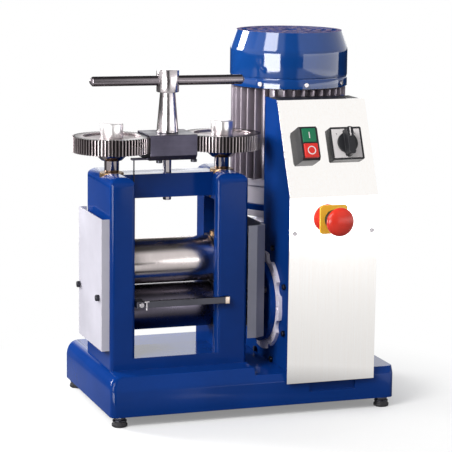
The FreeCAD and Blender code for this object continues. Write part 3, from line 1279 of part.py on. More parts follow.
def gearbox_flange():
    """Cast ring with eight lobes, a pocket in each, kept clear of the base."""
    ring = rod(LOBED_RADIUS, (LOBED_X, ROLL_Y, LOWER_ROLL_Z), X_AXIS, LOBED_THICKNESS)
    ring = ring.common(block((0, LEFT_PLATE_X), (-BASE_DEPTH, BASE_DEPTH),
                             (CABINET_FLOOR_Z + SEAT_GAP, STAND_TOP_Z)))
    for y, z in between_lobes(SCALLOP_CIRCLE):
        ring = ring.cut(rod(SCALLOP_RADIUS, (LOBED_X - 1, y, z), X_AXIS, LOBED_THICKNESS + 2))
    for k in range(FLANGE_BOLT_COUNT):
        y, z = round_axis(LOBED_RADIUS - LOBE_POCKET_INSET, 2 * math.pi * k / FLANGE_BOLT_COUNT)
        ring = ring.cut(rod(LOBE_POCKET_RADIUS, (LOBED_X - 1, y, z), X_AXIS, LOBED_THICKNESS / 2 + 1))
    return ring.cut(output_bore(LOBED_X, LOBED_THICKNESS))


def output_bore(x, length):
    return rod(HOLLOW_SHAFT_RADIUS + RUNNING, (x - 1, ROLL_Y, LOWER_ROLL_Z), X_AXIS, length + 2)


def output_hub():
    profile = [(0, OUTPUT_HUB_RADIUS - OUTPUT_HUB_EDGE), (OUTPUT_HUB_EDGE, OUTPUT_HUB_RADIUS),
               (OUTPUT_HUB, OUTPUT_HUB_RADIUS)]
    hub = turned(profile, (OUTPUT_HUB_X, ROLL_Y, LOWER_ROLL_Z), X_AXIS)
    return hub.cut(output_bore(OUTPUT_HUB_X, OUTPUT_HUB))


def flange_bolts():
    bolts = []
    for y, z in flange_bolt_spots():
        head = rod(FLANGE_BOLT_HEAD_RADIUS, (LEFT_PLATE_X - FLANGE_BOLT_HEAD, y, z), X_AXIS,
                   FLANGE_BOLT_HEAD)
        shank = rod(FLANGE_BOLT_RADIUS, (LEFT_PLATE_X, y, z), X_AXIS, FLANGE_BOLT_DEPTH)
        bolts.append(fused([head, shank]))
    return Part.Compound(bolts)


# Motor

def on_motor(profile):
    """A turned piece on the motor's axis from (z, radius) corners."""
    low = profile[0][0]
    return turned([(z - low, radius) for z, radius in profile], (MOTOR_X, MOTOR_Y, low), Z_AXIS)


def adapter_ring():
    low, step = GEARBOX_TOP_Z, GEARBOX_TOP_Z + ADAPTER_NECK
    ring = on_motor([(low, ADAPTER_NECK_RADIUS), (step, ADAPTER_NECK_RADIUS), (step, ADAPTER_RADIUS),
                     (ADAPTER_TOP_Z, ADAPTER_RADIUS)])
    return ring.cut(upright(MOTOR_SHAFT_RADIUS + SEAT_GAP, low - 1, ADAPTER_TOP_Z + 1))


def motor_flange():
    ring = upright(MOTOR_FLANGE_RADIUS, ADAPTER_TOP_Z, MOTOR_FLANGE_TOP_Z)
    return ring.cut(upright(MOTOR_SHAFT_RADIUS + SEAT_GAP, ADAPTER_TOP_Z - 1, MOTOR_FLANGE_TOP_Z + 1))


def drive_end_shield():
    low = MOTOR_FLANGE_TOP_Z
    shield = on_motor([(low, SHIELD_LOW_RADIUS), (low + SHIELD_LOW, SHIELD_LOW_RADIUS),
                       (low + SHIELD_LOW, SHIELD_RIM_RADIUS), (SHIELD_TOP_Z, SHIELD_RIM_RADIUS)])
    return shield.cut(upright(MOTOR_SHAFT_RADIUS + RUNNING, low - 1, SHIELD_TOP_Z + 1))


def fins():
    """The upright fins as one star of thin plates, before the barrel is added."""
    pieces = []
    for k in range(FIN_COUNT):
        fin = block((0, FIN_TIP_RADIUS), (-FIN_THICKNESS / 2, FIN_THICKNESS / 2), (0, FIN_LENGTH))
        fin.Placement = FreeCAD.Placement(V(MOTOR_X, MOTOR_Y, SHIELD_TOP_Z),
                                          FreeCAD.Rotation(V(*Z_AXIS), 360.0 * (k + 0.5) / FIN_COUNT))
        pieces.append(fin)
    return pieces


def cowl_screw_turns():
    return [COWL_SCREW_PHASE + 360.0 * k / COWL_SCREW_COUNT for k in range(COWL_SCREW_COUNT)]


def out_from_motor(shape, turn):
    """Turn a shape drawn along +X from the motor's axis to one direction in plan."""
    place = FreeCAD.Placement(V(MOTOR_X, MOTOR_Y, 0), FreeCAD.Rotation(V(*Z_AXIS), turn))
    shape.Placement = place.multiply(shape.Placement)
    return shape


def cowl_lugs():
    x = (BARREL_RADIUS - MOTOR_WALL / 2, COWL_RADIUS - COWL_SHEET - SEAT_GAP)
    y = (-COWL_LUG_WIDTH / 2, COWL_LUG_WIDTH / 2)
    z = (COWL_SCREW_Z - COWL_LUG_HEIGHT / 2, COWL_SCREW_Z + COWL_LUG_HEIGHT / 2)
    return [out_from_motor(block(x, y, z), turn) for turn in cowl_screw_turns()]


def terminal_saddle():
    half = TERMINAL_WIDTH / 2
    return block((MOTOR_X + SADDLE_ROOT, MOTOR_X + SADDLE_REACH), (MOTOR_Y - half, MOTOR_Y + half),
                 (TERMINAL_LOW_Z, TERMINAL_LOW_Z + TERMINAL_HEIGHT))


def terminal_clearance():
    """Room for the terminal box between the fins."""
    half = TERMINAL_WIDTH / 2 + TERMINAL_LID
    return block((MOTOR_X + SADDLE_REACH, MOTOR_X + COWL_RADIUS), (MOTOR_Y - half, MOTOR_Y + half),
                 (TERMINAL_LOW_Z - TERMINAL_LID, TERMINAL_LOW_Z + TERMINAL_HEIGHT + TERMINAL_LID))


def motor_housing():
    barrel = upright(BARREL_RADIUS, SHIELD_TOP_Z, MOTOR_TOP_Z)
    body = barrel.fuse(fins() + cowl_lugs() + [terminal_saddle()]).removeSplitter()
    body = body.cut(terminal_clearance())
    body = body.cut(upright(ROTOR_RADIUS + STATOR_GAP, SHIELD_TOP_Z - 1, MOTOR_TOP_Z - MOTOR_END_WALL))
    body = body.cut(upright(MOTOR_SHAFT_RADIUS + RUNNING, SHIELD_TOP_Z, MOTOR_TOP_Z + 1))
    for turn in cowl_screw_turns():
        start = COWL_RADIUS - COWL_SHEET - COWL_SCREW_DEPTH - SEAT_GAP
        body = body.cut(out_from_motor(rod(COWL_SCREW_RADIUS + RUNNING, (start, 0, COWL_SCREW_Z), X_AXIS,
                                           COWL_SCREW_DEPTH + 1), turn))
    return body


def motor_rotor():
    """Shaft with its core, from inside the worm to the fan."""
    middle = (SHIELD_TOP_Z + MOTOR_TOP_Z - MOTOR_END_WALL) / 2
    low_z = WORM_HIGH_Z + SEAT_GAP
    corners = [(low_z, MOTOR_SHAFT_RADIUS), (middle - ROTOR_LENGTH / 2, MOTOR_SHAFT_RADIUS),
               (middle - ROTOR_LENGTH / 2, ROTOR_RADIUS), (middle + ROTOR_LENGTH / 2, ROTOR_RADIUS),
               (middle + ROTOR_LENGTH / 2, MOTOR_SHAFT_RADIUS),
               (FAN_Z + FAN_HEIGHT, MOTOR_SHAFT_RADIUS)]
    return on_motor(corners)


def cooling_fan():
    hub = upright(FAN_HUB_RADIUS, FAN_Z, FAN_Z + FAN_HEIGHT)
    disc = upright(FAN_DISC_RADIUS, FAN_Z, FAN_Z + FAN_BLADE)
    blade_z = (FAN_Z, FAN_Z + FAN_HEIGHT - FAN_BLADE_TOP_DROP)
    blades = [out_from_motor(block((FAN_HUB_RADIUS - 1, FAN_RADIUS), (-FAN_BLADE / 2, FAN_BLADE / 2),
                                   blade_z), 360.0 * k / FAN_BLADES) for k in range(FAN_BLADES)]
    fan = fused([hub, disc] + blades)
    return fan.cut(upright(MOTOR_SHAFT_RADIUS + RUNNING, FAN_Z - 1, FAN_Z + FAN_HEIGHT + 1))


def grille_slots():
    """Rings of arc slots in the cowl's top, parted by spokes."""
    low, high = COWL_TOP_Z - COWL_SHEET - 1, COWL_TOP_Z + 1
    rings = []
    for k in range(GRILLE_RINGS):
        inner = GRILLE_FIRST_RADIUS + k * GRILLE_PITCH
        rings.append(upright(inner + GRILLE_SLOT, low, high).cut(upright(inner, low, high)))
    slots = fused(rings)
    half = GRILLE_SPOKE / 2
    spokes = [out_from_motor(block((-COWL_RADIUS, COWL_RADIUS), (-half, half), (low, high)),
                             360.0 * k / GRILLE_SPOKES) for k in range(GRILLE_SPOKES // 2)]
    return slots.cut(fused(spokes))


def fan_cowl():
    outer = on_motor([(COWL_LOW_Z, COWL_RADIUS), (COWL_SHOULDER_Z, COWL_RADIUS),
                      (COWL_TOP_Z, COWL_TOP_RADIUS)])
    wall = COWL_SHEET
    inner_radius = COWL_RADIUS - wall
    inner = on_motor([(COWL_LOW_Z - 1, inner_radius), (COWL_SHOULDER_Z - wall / 2, inner_radius),
                      (COWL_TOP_Z - wall, COWL_TOP_RADIUS - wall)])
    cowl = outer.cut(inner).cut(grille_slots())
    for turn in cowl_screw_turns():
        hole = rod(COWL_SCREW_RADIUS + RUNNING, (inner_radius - 1, 0, COWL_SCREW_Z), X_AXIS, wall + 2)
        cowl = cowl.cut(out_from_motor(hole, turn))
    return cowl


def cowl_screws():
    screws = []
    for turn in cowl_screw_turns():
        head = rod(COWL_SCREW_HEAD_RADIUS, (COWL_RADIUS, 0, COWL_SCREW_Z), X_AXIS, COWL_SCREW_HEAD)
        start = COWL_RADIUS - COWL_SHEET - COWL_SCREW_DEPTH
        shank = rod(COWL_SCREW_RADIUS, (start, 0, COWL_SCREW_Z), X_AXIS, COWL_RADIUS - start)
        screws.append(out_from_motor(fused([head, shank]), turn))
    return Part.Compound(screws)


def terminal_box():
    x0 = MOTOR_X + SADDLE_REACH
    half = TERMINAL_WIDTH / 2
    z = (TERMINAL_LOW_Z, TERMINAL_LOW_Z + TERMINAL_HEIGHT)
    box = block((x0, x0 + TERMINAL_DEPTH - TERMINAL_LID), (MOTOR_Y - half, MOTOR_Y + half), z)
    lid = block((x0 + TERMINAL_DEPTH - TERMINAL_LID, x0 + TERMINAL_DEPTH),
                (MOTOR_Y - half - TERMINAL_LID / 2, MOTOR_Y + half + TERMINAL_LID / 2),
                (z[0] - TERMINAL_LID / 2, z[1] + TERMINAL_LID / 2))
    return fused([box, lid])


def cable_gland():
    x = RIGHT_PLATE_X
    start = (x - SIDE_PLATE - GLAND_TAIL, GLAND_Y, GLAND_Z)
    thread = rod(GLAND_THREAD_RADIUS, start, X_AXIS, SIDE_PLATE + GLAND_TAIL)
    lock = hexagon(GLAND_HEX_RADIUS, (x - SIDE_PLATE - GLAND_HEX / 2, GLAND_Y, GLAND_Z), X_AXIS,
                   GLAND_HEX / 2)
    body = hexagon(GLAND_HEX_RADIUS, (x, GLAND_Y, GLAND_Z), X_AXIS, GLAND_HEX)
    dome = turned([(0, GLAND_DOME_RADIUS), (GLAND_DOME_STEP, GLAND_DOME_RADIUS),
                   (GLAND_DOME, GLAND_MOUTH_RADIUS)], (x + GLAND_HEX, GLAND_Y, GLAND_Z), X_AXIS)
    whole = fused([thread, lock, body, dome])
    return whole.cut(rod(GLAND_BORE_RADIUS, (start[0] - 1, GLAND_Y, GLAND_Z), X_AXIS,
                         SIDE_PLATE + GLAND_TAIL + GLAND_HEX + GLAND_DOME + 2))


def all_nodes():
    nodes = {
        "base_casting": base_casting(),
        "rubber_feet": rubber_feet(),
        "foot_studs": foot_studs(),
        "roller_stand": roller_stand(),
        "stand_fasteners": Part.Compound(stand_bolts() + feed_rest_screws()),
        "screwdown_nuts": screwdown_nuts(),
        "lower_bushes": Part.Compound(bushes(LOWER_ROLL_Z)),
        "upper_bronze_bearings": Part.Compound(bushes(UPPER_ROLL_Z) + thrust_pads()),
        "lower_roll": lower_roll(),
        "upper_roll": upper_roll(),
        "lower_roll_gear": roll_gear(LOWER_ROLL_Z, False),
        "upper_roll_gear": roll_gear(UPPER_ROLL_Z, True),
        "gear_carrier": gear_carrier(),
        "carrier_screws": carrier_screws(),
        "gap_pointer": gap_pointer(),
        "drive_pinion": drive_pinion(),
        "handle_spindle": handle_spindle(),
        "handle_bar": handle_bar(),
        "feed_rest": feed_rest(),
        "left_gear_cover": left_gear_cover(),
        "right_gear_cover": right_gear_cover(),
        "sheet_metal_screws": sheet_metal_screws(),
        "front_panel": front_panel(),
        "cabinet_left_side": cabinet_left_side(),
        "cabinet_rear_shell": cabinet_rear_shell(),
        "cabinet_top_plate": cabinet_top_plate(),
        "switch_housing": switch_housing(),
        "start_button": push_button(START_ALONG, START_PROUD),
        "stop_button": push_button(STOP_ALONG, STOP_PROUD),
        "selector_plate": selector_plate(),
        "selector_knob": selector_knob(),
        "estop_plate": estop_plate(),
        "estop_collar": estop_collar(),
        "estop_stem": estop_stem(),
        "estop_mushroom": estop_mushroom(),
        "contact_blocks": contact_blocks(),
        "gearbox_housing": gearbox_housing(),
        "worm_wheel": worm_wheel(),
        "worm_shaft": worm_shaft(),
        "gearbox_flange": gearbox_flange(),
        "output_hub": output_hub(),
        "flange_bolts": flange_bolts(),
        "adapter_ring": adapter_ring(),
        "motor_flange": motor_flange(),
        "drive_end_shield": drive_end_shield(),
        "motor_housing": motor_housing(),
        "motor_rotor": motor_rotor(),
        "cooling_fan": cooling_fan(),
        "fan_cowl": fan_cowl(),
        "cowl_screws": cowl_screws(),
        "terminal_box": terminal_box(),
        "cable_gland": cable_gland(),
    }
    for side in ("left", "right"):
        nodes["lower_chock_" + side] = lower_chock(side)
        nodes["upper_chock_" + side] = upper_chock(side)
        nodes[side + "_screw"] = screw(side)
        nodes[side + "_screw_gear"] = screw_gear(side)
    return nodes


def main():
    os.makedirs("parts", exist_ok=True)
    nodes = all_nodes()
    whole = FreeCAD.BoundBox()
    for shape in nodes.values():
        whole.add(shape.optimalBoundingBox(False, False))
    middle = V((whole.XMin + whole.XMax) / 2, (whole.YMin + whole.YMax) / 2, 0)
    for name, shape in sorted(nodes.items()):
        shape.translate(V(-middle.x, -middle.y, 0))
        shape.exportStep(os.path.join("parts", name + ".step"))
        if not shape.isValid() or not shape.Solids:
            print("check", name, "valid", shape.isValid(), "solids", len(shape.Solids))
    print("nodes", len(nodes))
    size = [round(v, 2) for v in (whole.XLength, whole.YLength, whole.ZLength)]
    print("size", size, "low z", round(whole.ZMin, 3))
    print("moved by", round(-middle.x, 4), round(-middle.y, 4))


main()
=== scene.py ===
import logging
import math
from dataclasses import dataclass
from enum import Enum
from functools import cache
from typing import Callable, Iterable, Optional, Sequence

import bmesh
import bpy
from mathutils import Matrix, Vector


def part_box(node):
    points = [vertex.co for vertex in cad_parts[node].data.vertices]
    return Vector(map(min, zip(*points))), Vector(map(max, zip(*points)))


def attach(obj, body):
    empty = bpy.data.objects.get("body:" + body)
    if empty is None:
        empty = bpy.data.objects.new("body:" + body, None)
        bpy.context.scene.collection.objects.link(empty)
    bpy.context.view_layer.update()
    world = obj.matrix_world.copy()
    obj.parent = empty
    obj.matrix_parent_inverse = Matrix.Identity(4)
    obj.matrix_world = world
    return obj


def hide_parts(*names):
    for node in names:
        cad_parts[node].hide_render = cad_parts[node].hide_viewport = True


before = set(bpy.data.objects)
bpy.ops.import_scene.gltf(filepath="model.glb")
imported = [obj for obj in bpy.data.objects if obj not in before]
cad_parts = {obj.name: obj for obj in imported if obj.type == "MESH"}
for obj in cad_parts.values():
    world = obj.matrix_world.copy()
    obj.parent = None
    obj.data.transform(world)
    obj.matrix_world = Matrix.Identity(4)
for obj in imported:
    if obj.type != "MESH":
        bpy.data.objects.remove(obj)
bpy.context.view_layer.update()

LOG = logging.getLogger("rolling_mill")
X, Y, Z = Vector((1, 0, 0)), Vector((0, 1, 0)), Vector((0, 0, 1))
Colour = tuple[float, float, float]
Profile = list[tuple[float, float]]
Socket = bpy.types.NodeSocket
FRAME = "machine_frame"
# Point attribute with the share of painted light: low in the painted shade between gear teeth and between fins.
PAINTED_LIGHT_ATTRIBUTE = "exposed"
WHITE = (1.0, 1.0, 1.0, 1.0)
PAST = 0.01  # how far a cutter reaches past what it cuts
FINE = 0.0001  # the finest rounding and clearance
MERGED = 2e-6  # points closer than this are one in a CAD copy
SEAM = 1e-7  # points closer than this are one in a turned form
FLAT = math.radians(0.6)  # faces that meet at less than this are one
ROUNDED_SHARE = 0.45  # the most of a line that the rounding at one end takes


# Finishes


class Lay(Enum):
    """Direction of the tool marks on a metal face."""

    ROUND_X = (1800.0, 30.0, 30.0)
    ROUND_Z = (30.0, 30.0, 1800.0)
    ALONG_X = (12.0, 900.0, 900.0)
    ALONG_Z = (500.0, 500.0, 8.0)
    NONE = (260.0, 260.0, 260.0)


class Graph:
    """Short calls for building one node tree."""

    def __init__(self, tree: bpy.types.NodeTree) -> None:
        """Start on an empty tree.

        Args:
            tree: the material's, world's or group's node tree.
        """
        self.tree = tree
        tree.nodes.clear()

    def fill(self, node: bpy.types.Node, **inputs: object) -> bpy.types.Node:
        """Fill a node's sockets.

        Args:
            node: the node.
            inputs: socket names with underscores for spaces, or i and a number; sockets are linked, values set.

        Returns:
            The same node.
        """
        for key, value in inputs.items():
            socket = node.inputs[int(key[1:]) if key[1:].isdigit() else key.replace("_", " ")]
            if isinstance(value, Socket):
                self.tree.links.new(value, socket)
            else:
                socket.default_value = value
        return node

    def add(self, kind: str, **inputs: object) -> bpy.types.Node:
        """Add a node, its type named without "ShaderNode", and fill it."""
        return self.fill(self.tree.nodes.new("ShaderNode" + kind), **inputs)

    def math(self, operation: str, first: object, second: object = 0.0) -> Socket:
        """One Math node's result."""
        node = self.add("Math")
        node.operation = operation
        return self.fill(node, i0=first, i1=second).outputs[0]

    def vector(self, operation: str, **inputs: object) -> bpy.types.Node:
        """One Vector Math node."""
        node = self.add("VectorMath")
        node.operation = operation
        return self.fill(node, **inputs)

    def mix(self, factor: object, first: object, second: object) -> Socket:
        """A colour mix's result."""
        node = self.add("Mix")
        node.data_type = "RGBA"
        return self.fill(node, i0=factor, i6=first, i7=second).outputs[2]

    def spread(self, value: Socket, low: float, high: float, to_low: float, to_high: float) -> Socket:
        """Map a value from one range to another, held at both ends."""
        return self.add("MapRange", Value=value, From_Min=low, From_Max=high, To_Min=to_low,
                        To_Max=to_high).outputs[0]

    def use(self, group: bpy.types.NodeTree, **inputs: object) -> bpy.types.NodeOutputs:
        """Place a shared group, fill it and give its outputs."""
        node = self.add("Group")
        node.node_tree = group
        return self.fill(node, **inputs).outputs


class SharedEffects:
    """The effects that several materials use, each built once as a node group."""

    @staticmethod
    def _group(name: str, inputs: dict[str, object],
               outputs: Sequence[str]) -> tuple[Graph, bpy.types.NodeOutputs, bpy.types.Node]:
        """Start a group with named sockets.

        Args:
            name: the group's name.
            inputs: socket name to default, a number or a triple.
            outputs: names of the value sockets that it puts out.

        Returns:
            The graph, its given values by name, and the output node.
        """
        tree = bpy.data.node_groups.new(name, "ShaderNodeTree")
        graph = Graph(tree)
        for key, value in inputs.items():
            kind = "NodeSocketVector" if isinstance(value, tuple) else "NodeSocketFloat"
            tree.interface.new_socket(key, in_out="INPUT", socket_type=kind).default_value = value
        for key in outputs:
            tree.interface.new_socket(key, in_out="OUTPUT", socket_type="NodeSocketFloat")
        start, end = tree.nodes.new("NodeGroupInput"), tree.nodes.new("NodeGroupOutput")
        return graph, start.outputs, end

    @staticmethod
    @cache
    def surface_grain() -> bpy.types.NodeTree:
        """Broad blotches, fine grain and small pits on Object coordinates."""
        graph, given, end = SharedEffects._group(
            "Surface Grain", {"Broad": 9.0, "Fine": 420.0, "Pits": 160.0}, ("Blotches", "Grain", "Pits"))
        place = graph.add("TexCoord").outputs["Object"]
        broad = graph.add("TexNoise", Vector=place, Scale=given["Broad"], Detail=5.0, Roughness=0.6).outputs[0]
        fine = graph.add("TexNoise", Vector=place, Scale=given["Fine"], Detail=2.0).outputs[0]
        cells = graph.add("TexVoronoi", Vector=place, Scale=given["Pits"]).outputs["Distance"]
        pits = graph.math("MULTIPLY", graph.spread(cells, 0.05, 0.32, 1.0, 0.0), broad)
        graph.fill(end, Blotches=broad, Grain=fine, Pits=pits)
        return graph.tree

    @staticmethod
    @cache
    def edge_wear() -> bpy.types.NodeTree:
        """A broken line along the outer edges, where hands and tools rub."""
        graph, given, end = SharedEffects._group(
            "Edge Wear", {"Reach": 0.0015, "Breakup": 120.0, "Amount": 0.5}, ("Mask",))
        bevel = graph.add("Bevel", Radius=given["Reach"])
        bevel.samples = 4
        facing = graph.vector("DOT_PRODUCT", i0=graph.add("NewGeometry").outputs["Normal"], i1=bevel.outputs[0])
        edge = graph.spread(facing.outputs["Value"], 0.97, 0.80, 0.0, 1.0)
        place = graph.add("TexCoord").outputs["Object"]
        rub = graph.add("TexNoise", Vector=place, Scale=given["Breakup"], Detail=4.0)
        torn = graph.spread(rub.outputs[0], 0.48, 0.62, 0.0, 1.0)
        graph.fill(end, Mask=graph.math("MULTIPLY", graph.math("MULTIPLY", edge, torn), given["Amount"]))
        return graph.tree

    @staticmethod
    @cache
    def tool_marks() -> bpy.types.NodeTree:
        """Fine lines of turning, grinding or brushing."""
        graph, given, end = SharedEffects._group("Tool Marks", {"Lay": Lay.ROUND_Z.value}, ("Lines", "Smears"))
        place = graph.add("TexCoord").outputs["Object"]
        stretched = graph.vector("MULTIPLY", i0=place, i1=given["Lay"]).outputs[0]
        lines = graph.add("TexNoise", Vector=stretched, Scale=1.0, Detail=3.0, Roughness=0.7)
        smears = graph.add("TexNoise", Vector=place, Scale=26.0, Detail=4.0)
        graph.fill(end, Lines=lines.outputs[0], Smears=smears.outputs[0])
        return graph.tree


def rgba(colour: Colour, scale: float = 1.0) -> tuple[float, float, float, float]:
    """A colour as the four numbers that a socket takes."""
    return (*(min(part * scale, 1.0) for part in colour), 1.0)


class Finish:
    """Something that a surface can be given. Each kind below makes one material, once."""

    name: str

    @cache
    def material(self) -> bpy.types.Material:
        """The finish's material, made the first time that it is asked for."""
        material = bpy.data.materials.new(self.name)
        material.use_nodes = True
        graph = Graph(material.node_tree)
        shader = graph.add("BsdfPrincipled")
        graph.add("OutputMaterial", i0=shader.outputs[0])
        self.paint(graph, shader)
        return material

    def paint(self, graph: Graph, shader: bpy.types.Node) -> None:
        """Fill in the shader. Each kind of finish has its own."""
        raise NotImplementedError


@dataclass(frozen=True)
class Enamel(Finish):
    """Glossy paint on a casting or on sheet."""

    name: str
    colour: Colour
    roughness: float = 0.16
    peel: float = 0.00012
    wear: float = 0.3
    coat: float = 0.0
    specular: float = 0.22

    def paint(self, graph: Graph, shader: bpy.types.Node) -> None:
        """Colour that drifts a little, an orange peel bump and rubbed edges."""
        grain = graph.use(SharedEffects.surface_grain(), Broad=7.0, Fine=240.0, Pits=90.0)
        edge = graph.use(SharedEffects.edge_wear(), Reach=0.0012, Amount=self.wear)["Mask"]
        drift = graph.spread(grain["Blotches"], 0.3, 0.7, 0.0, 1.0)
        colour = graph.mix(drift, rgba(self.colour, 0.86), rgba(self.colour, 1.14))
        worn = tuple(0.55 * part + 0.12 for part in self.colour)
        rough = graph.spread(grain["Blotches"], 0.25, 0.75, self.roughness * 0.75, self.roughness * 1.5)
        height = graph.math("SUBTRACT", grain["Grain"], graph.math("MULTIPLY", grain["Pits"], 0.6))
        bump = graph.add("Bump", Height=height, Strength=0.5, Distance=self.peel)
        graph.fill(shader, Base_Color=graph.mix(edge, colour, rgba(worn)),
                   Roughness=graph.math("ADD", rough, graph.math("MULTIPLY", edge, 0.25)),
                   Normal=bump.outputs[0], Coat_Weight=self.coat, Coat_Roughness=0.05,
                   Specular_IOR_Level=self.specular)


@dataclass(frozen=True)
class Steel(Finish):
    """Bare metal with the marks of the tool that made it."""

    name: str
    colour: Colour
    roughness: float = 0.28
    lay: Lay = Lay.NONE
    marks: float = 0.00003
    stain: float = 0.25
    wear: float = 0.4
    # Colour scale deep in the hollows between teeth or fins: painted shade, 1 for none.
    hollow: float = 1.0
    metal: float = 1.0

    def paint(self, graph: Graph, shader: bpy.types.Node) -> None:
        """Metal, darker where oil has stained it and brighter along its edges, with painted shade in the hollows
        between teeth or fins where the finish asks for it.
        """
        lines = graph.use(SharedEffects.tool_marks(), Lay=self.lay.value)
        grain = graph.use(SharedEffects.surface_grain(), Broad=18.0, Fine=700.0, Pits=240.0)
        edge = graph.use(SharedEffects.edge_wear(), Reach=0.0008, Amount=self.wear)["Mask"]
        stain = graph.spread(grain["Blotches"], 0.42, 0.68, 0.0, self.stain)
        colour = graph.mix(stain, rgba(self.colour), rgba(self.colour, 0.45))
        streak = graph.spread(lines["Lines"], 0.35, 0.65, 0.0, 0.35)
        colour = graph.mix(streak, colour, rgba(self.colour, 1.25))
        colour = graph.mix(edge, colour, rgba(self.colour, 1.7))
        # Painted shade: darker towards the hollows between teeth or fins, read from the point attribute that the piece
        # carries.
        if self.hollow < 1.0:
            exposed = graph.add("Attribute")
            exposed.attribute_name = PAINTED_LIGHT_ATTRIBUTE
            colour = graph.mix(exposed.outputs["Fac"], rgba(self.colour, self.hollow), colour)
        rough = graph.spread(lines["Smears"], 0.3, 0.7, self.roughness * 0.8, self.roughness * 1.3)
        bump = graph.add("Bump", Height=lines["Lines"], Strength=0.5, Distance=self.marks)
        graph.fill(shader, Base_Color=colour,
                   Roughness=graph.math("ADD", rough, graph.math("MULTIPLY", stain, 0.25)),
                   Normal=bump.outputs[0], Metallic=self.metal)


@dataclass(frozen=True)
class Moulded(Finish):
    """Plastic or rubber from a mould."""

    name: str
    colour: Colour
    roughness: float = 0.38

    def paint(self, graph: Graph, shader: bpy.types.Node) -> None:
        """Even colour with a fine moulded texture and a little dust."""
        grain = graph.use(SharedEffects.surface_grain(), Broad=22.0, Fine=900.0, Pits=500.0)
        edge = graph.use(SharedEffects.edge_wear(), Reach=0.0006, Amount=0.2)["Mask"]
        dusty = tuple(0.7 * part + 0.1 for part in self.colour)
        film = graph.spread(grain["Blotches"], 0.4, 0.75, 0.0, 0.06)
        colour = graph.mix(film, rgba(self.colour), rgba(dusty))
        rough = graph.spread(grain["Blotches"], 0.3, 0.7, self.roughness * 0.85, self.roughness * 1.2)
        bump = graph.add("Bump", Height=grain["Grain"], Strength=0.4, Distance=0.00008)
        graph.fill(shader, Base_Color=graph.mix(edge, colour, rgba(dusty, 1.2)), Roughness=rough,
                   Normal=bump.outputs[0], Specular_IOR_Level=0.3)


BLUE = Enamel("casting_blue", (0.003, 0.037, 0.215), 0.1, 0.00004, specular=0.10)
BLUE_SHEET = Enamel("plate_blue", (0.003, 0.038, 0.210), 0.3, 0.00003, specular=0.015)
COWL_BLUE = Enamel("cowl_blue_enamel", (0.006, 0.062, 0.280), 0.07, 0.00001, 0.15, coat=0.4, specular=0.4)
# Painted sheen: a lighter lilac copy of the cowl's blue, for its top.
SHEEN_GRILLE_BLUE = Enamel("grille_enamel_painted_sheen", (0.10, 0.07, 0.18), 0.5, 0.0001, specular=0.05)
LIGHT_SHEET = Enamel("light_grey_paint", (0.54, 0.525, 0.59), 0.4, 0.00005)
# Painted shade: a darker copy of the light grey cover paint, for the right gear cover between stand and cabinet.
SHADED_COVER_SHEET = Enamel("cover_paint_painted_shade", (0.24, 0.24, 0.29), 0.42, 0.00006)
BLACK_PAINT = Enamel("black_paint", (0.014, 0.013, 0.016), 0.45, wear=0.1)
SHIELD_ALUMINIUM = Enamel("aluminium_paint", (0.86, 0.80, 0.88), 0.3, 0.00006, specular=0.5)
MIRROR_SHEET = Steel("polished_stainless", (0.97, 0.94, 0.91), 0.06, Lay.ALONG_Z, 0.000002, 0.02, 0.1)
ROLL_STEEL = Steel("ground_roll_steel", (0.62, 0.56, 0.55), 0.2, Lay.ROUND_X, 0.000006, 0.12)
# Painted shade: the lower roll's copy of the ground roll steel, made much darker.
SHADED_LOWER_ROLL_STEEL = Steel("lower_roll_steel_painted_shade", (0.11, 0.10, 0.13), 0.24, Lay.ROUND_X, 0.000006, 0.2)
# Gear steel with painted shade: dark between the teeth and darker on the rim than in the lighter painted recess.
GEAR_STEEL = Steel("gear_steel", (0.46, 0.40, 0.41), 0.3, stain=0.45, hollow=0.06)
HIDDEN_GEAR_STEEL = Steel("greased_gear_steel", (0.20, 0.18, 0.18), 0.3, marks=0.00004, stain=0.5)
TURNED_STEEL = Steel("turned_steel", (0.50, 0.46, 0.47), 0.19, Lay.ROUND_Z, 0.000002, 0.05, 0.2)
SCREW_STEEL = Steel("screw_steel", (0.36, 0.32, 0.33), 0.1, Lay.ROUND_Z, 0.000003, 0.2)
# Painted light: the screws' dial heads in a much lighter copy of the screw steel.
LIT_DIAL_STEEL = Steel("dial_steel_painted_light", (0.88, 0.84, 0.84), 0.3, Lay.ROUND_Z, 0.00001, 0.1)
BAR_STEEL = Steel("drawn_bar_steel", (0.27, 0.24, 0.26), 0.2, Lay.ALONG_X, 0.000008, 0.3)
BLOCK_STEEL = Steel("ground_block_steel", (0.085, 0.078, 0.11), 0.34, Lay.ALONG_X, stain=0.5)
# Painted highlight: bright metal for the patch at the end of the feed rest.
HIGHLIGHT_STEEL = Steel("painted_highlight_steel", (0.80, 0.66, 0.56), 0.4, stain=0.1)
REST_STEEL = Steel("feed_rest_steel", (0.075, 0.075, 0.09), 0.3, Lay.ALONG_X, stain=0.35)
BRONZE = Steel("machined_bronze", (0.30, 0.19, 0.10), 0.35, Lay.ROUND_X, stain=0.4)
DARK_STEEL = Steel("blackened_steel", (0.05, 0.05, 0.06), 0.35, stain=0.3)
ZINC = Steel("zinc_plated_steel", (0.42, 0.40, 0.42), 0.25, stain=0.2)
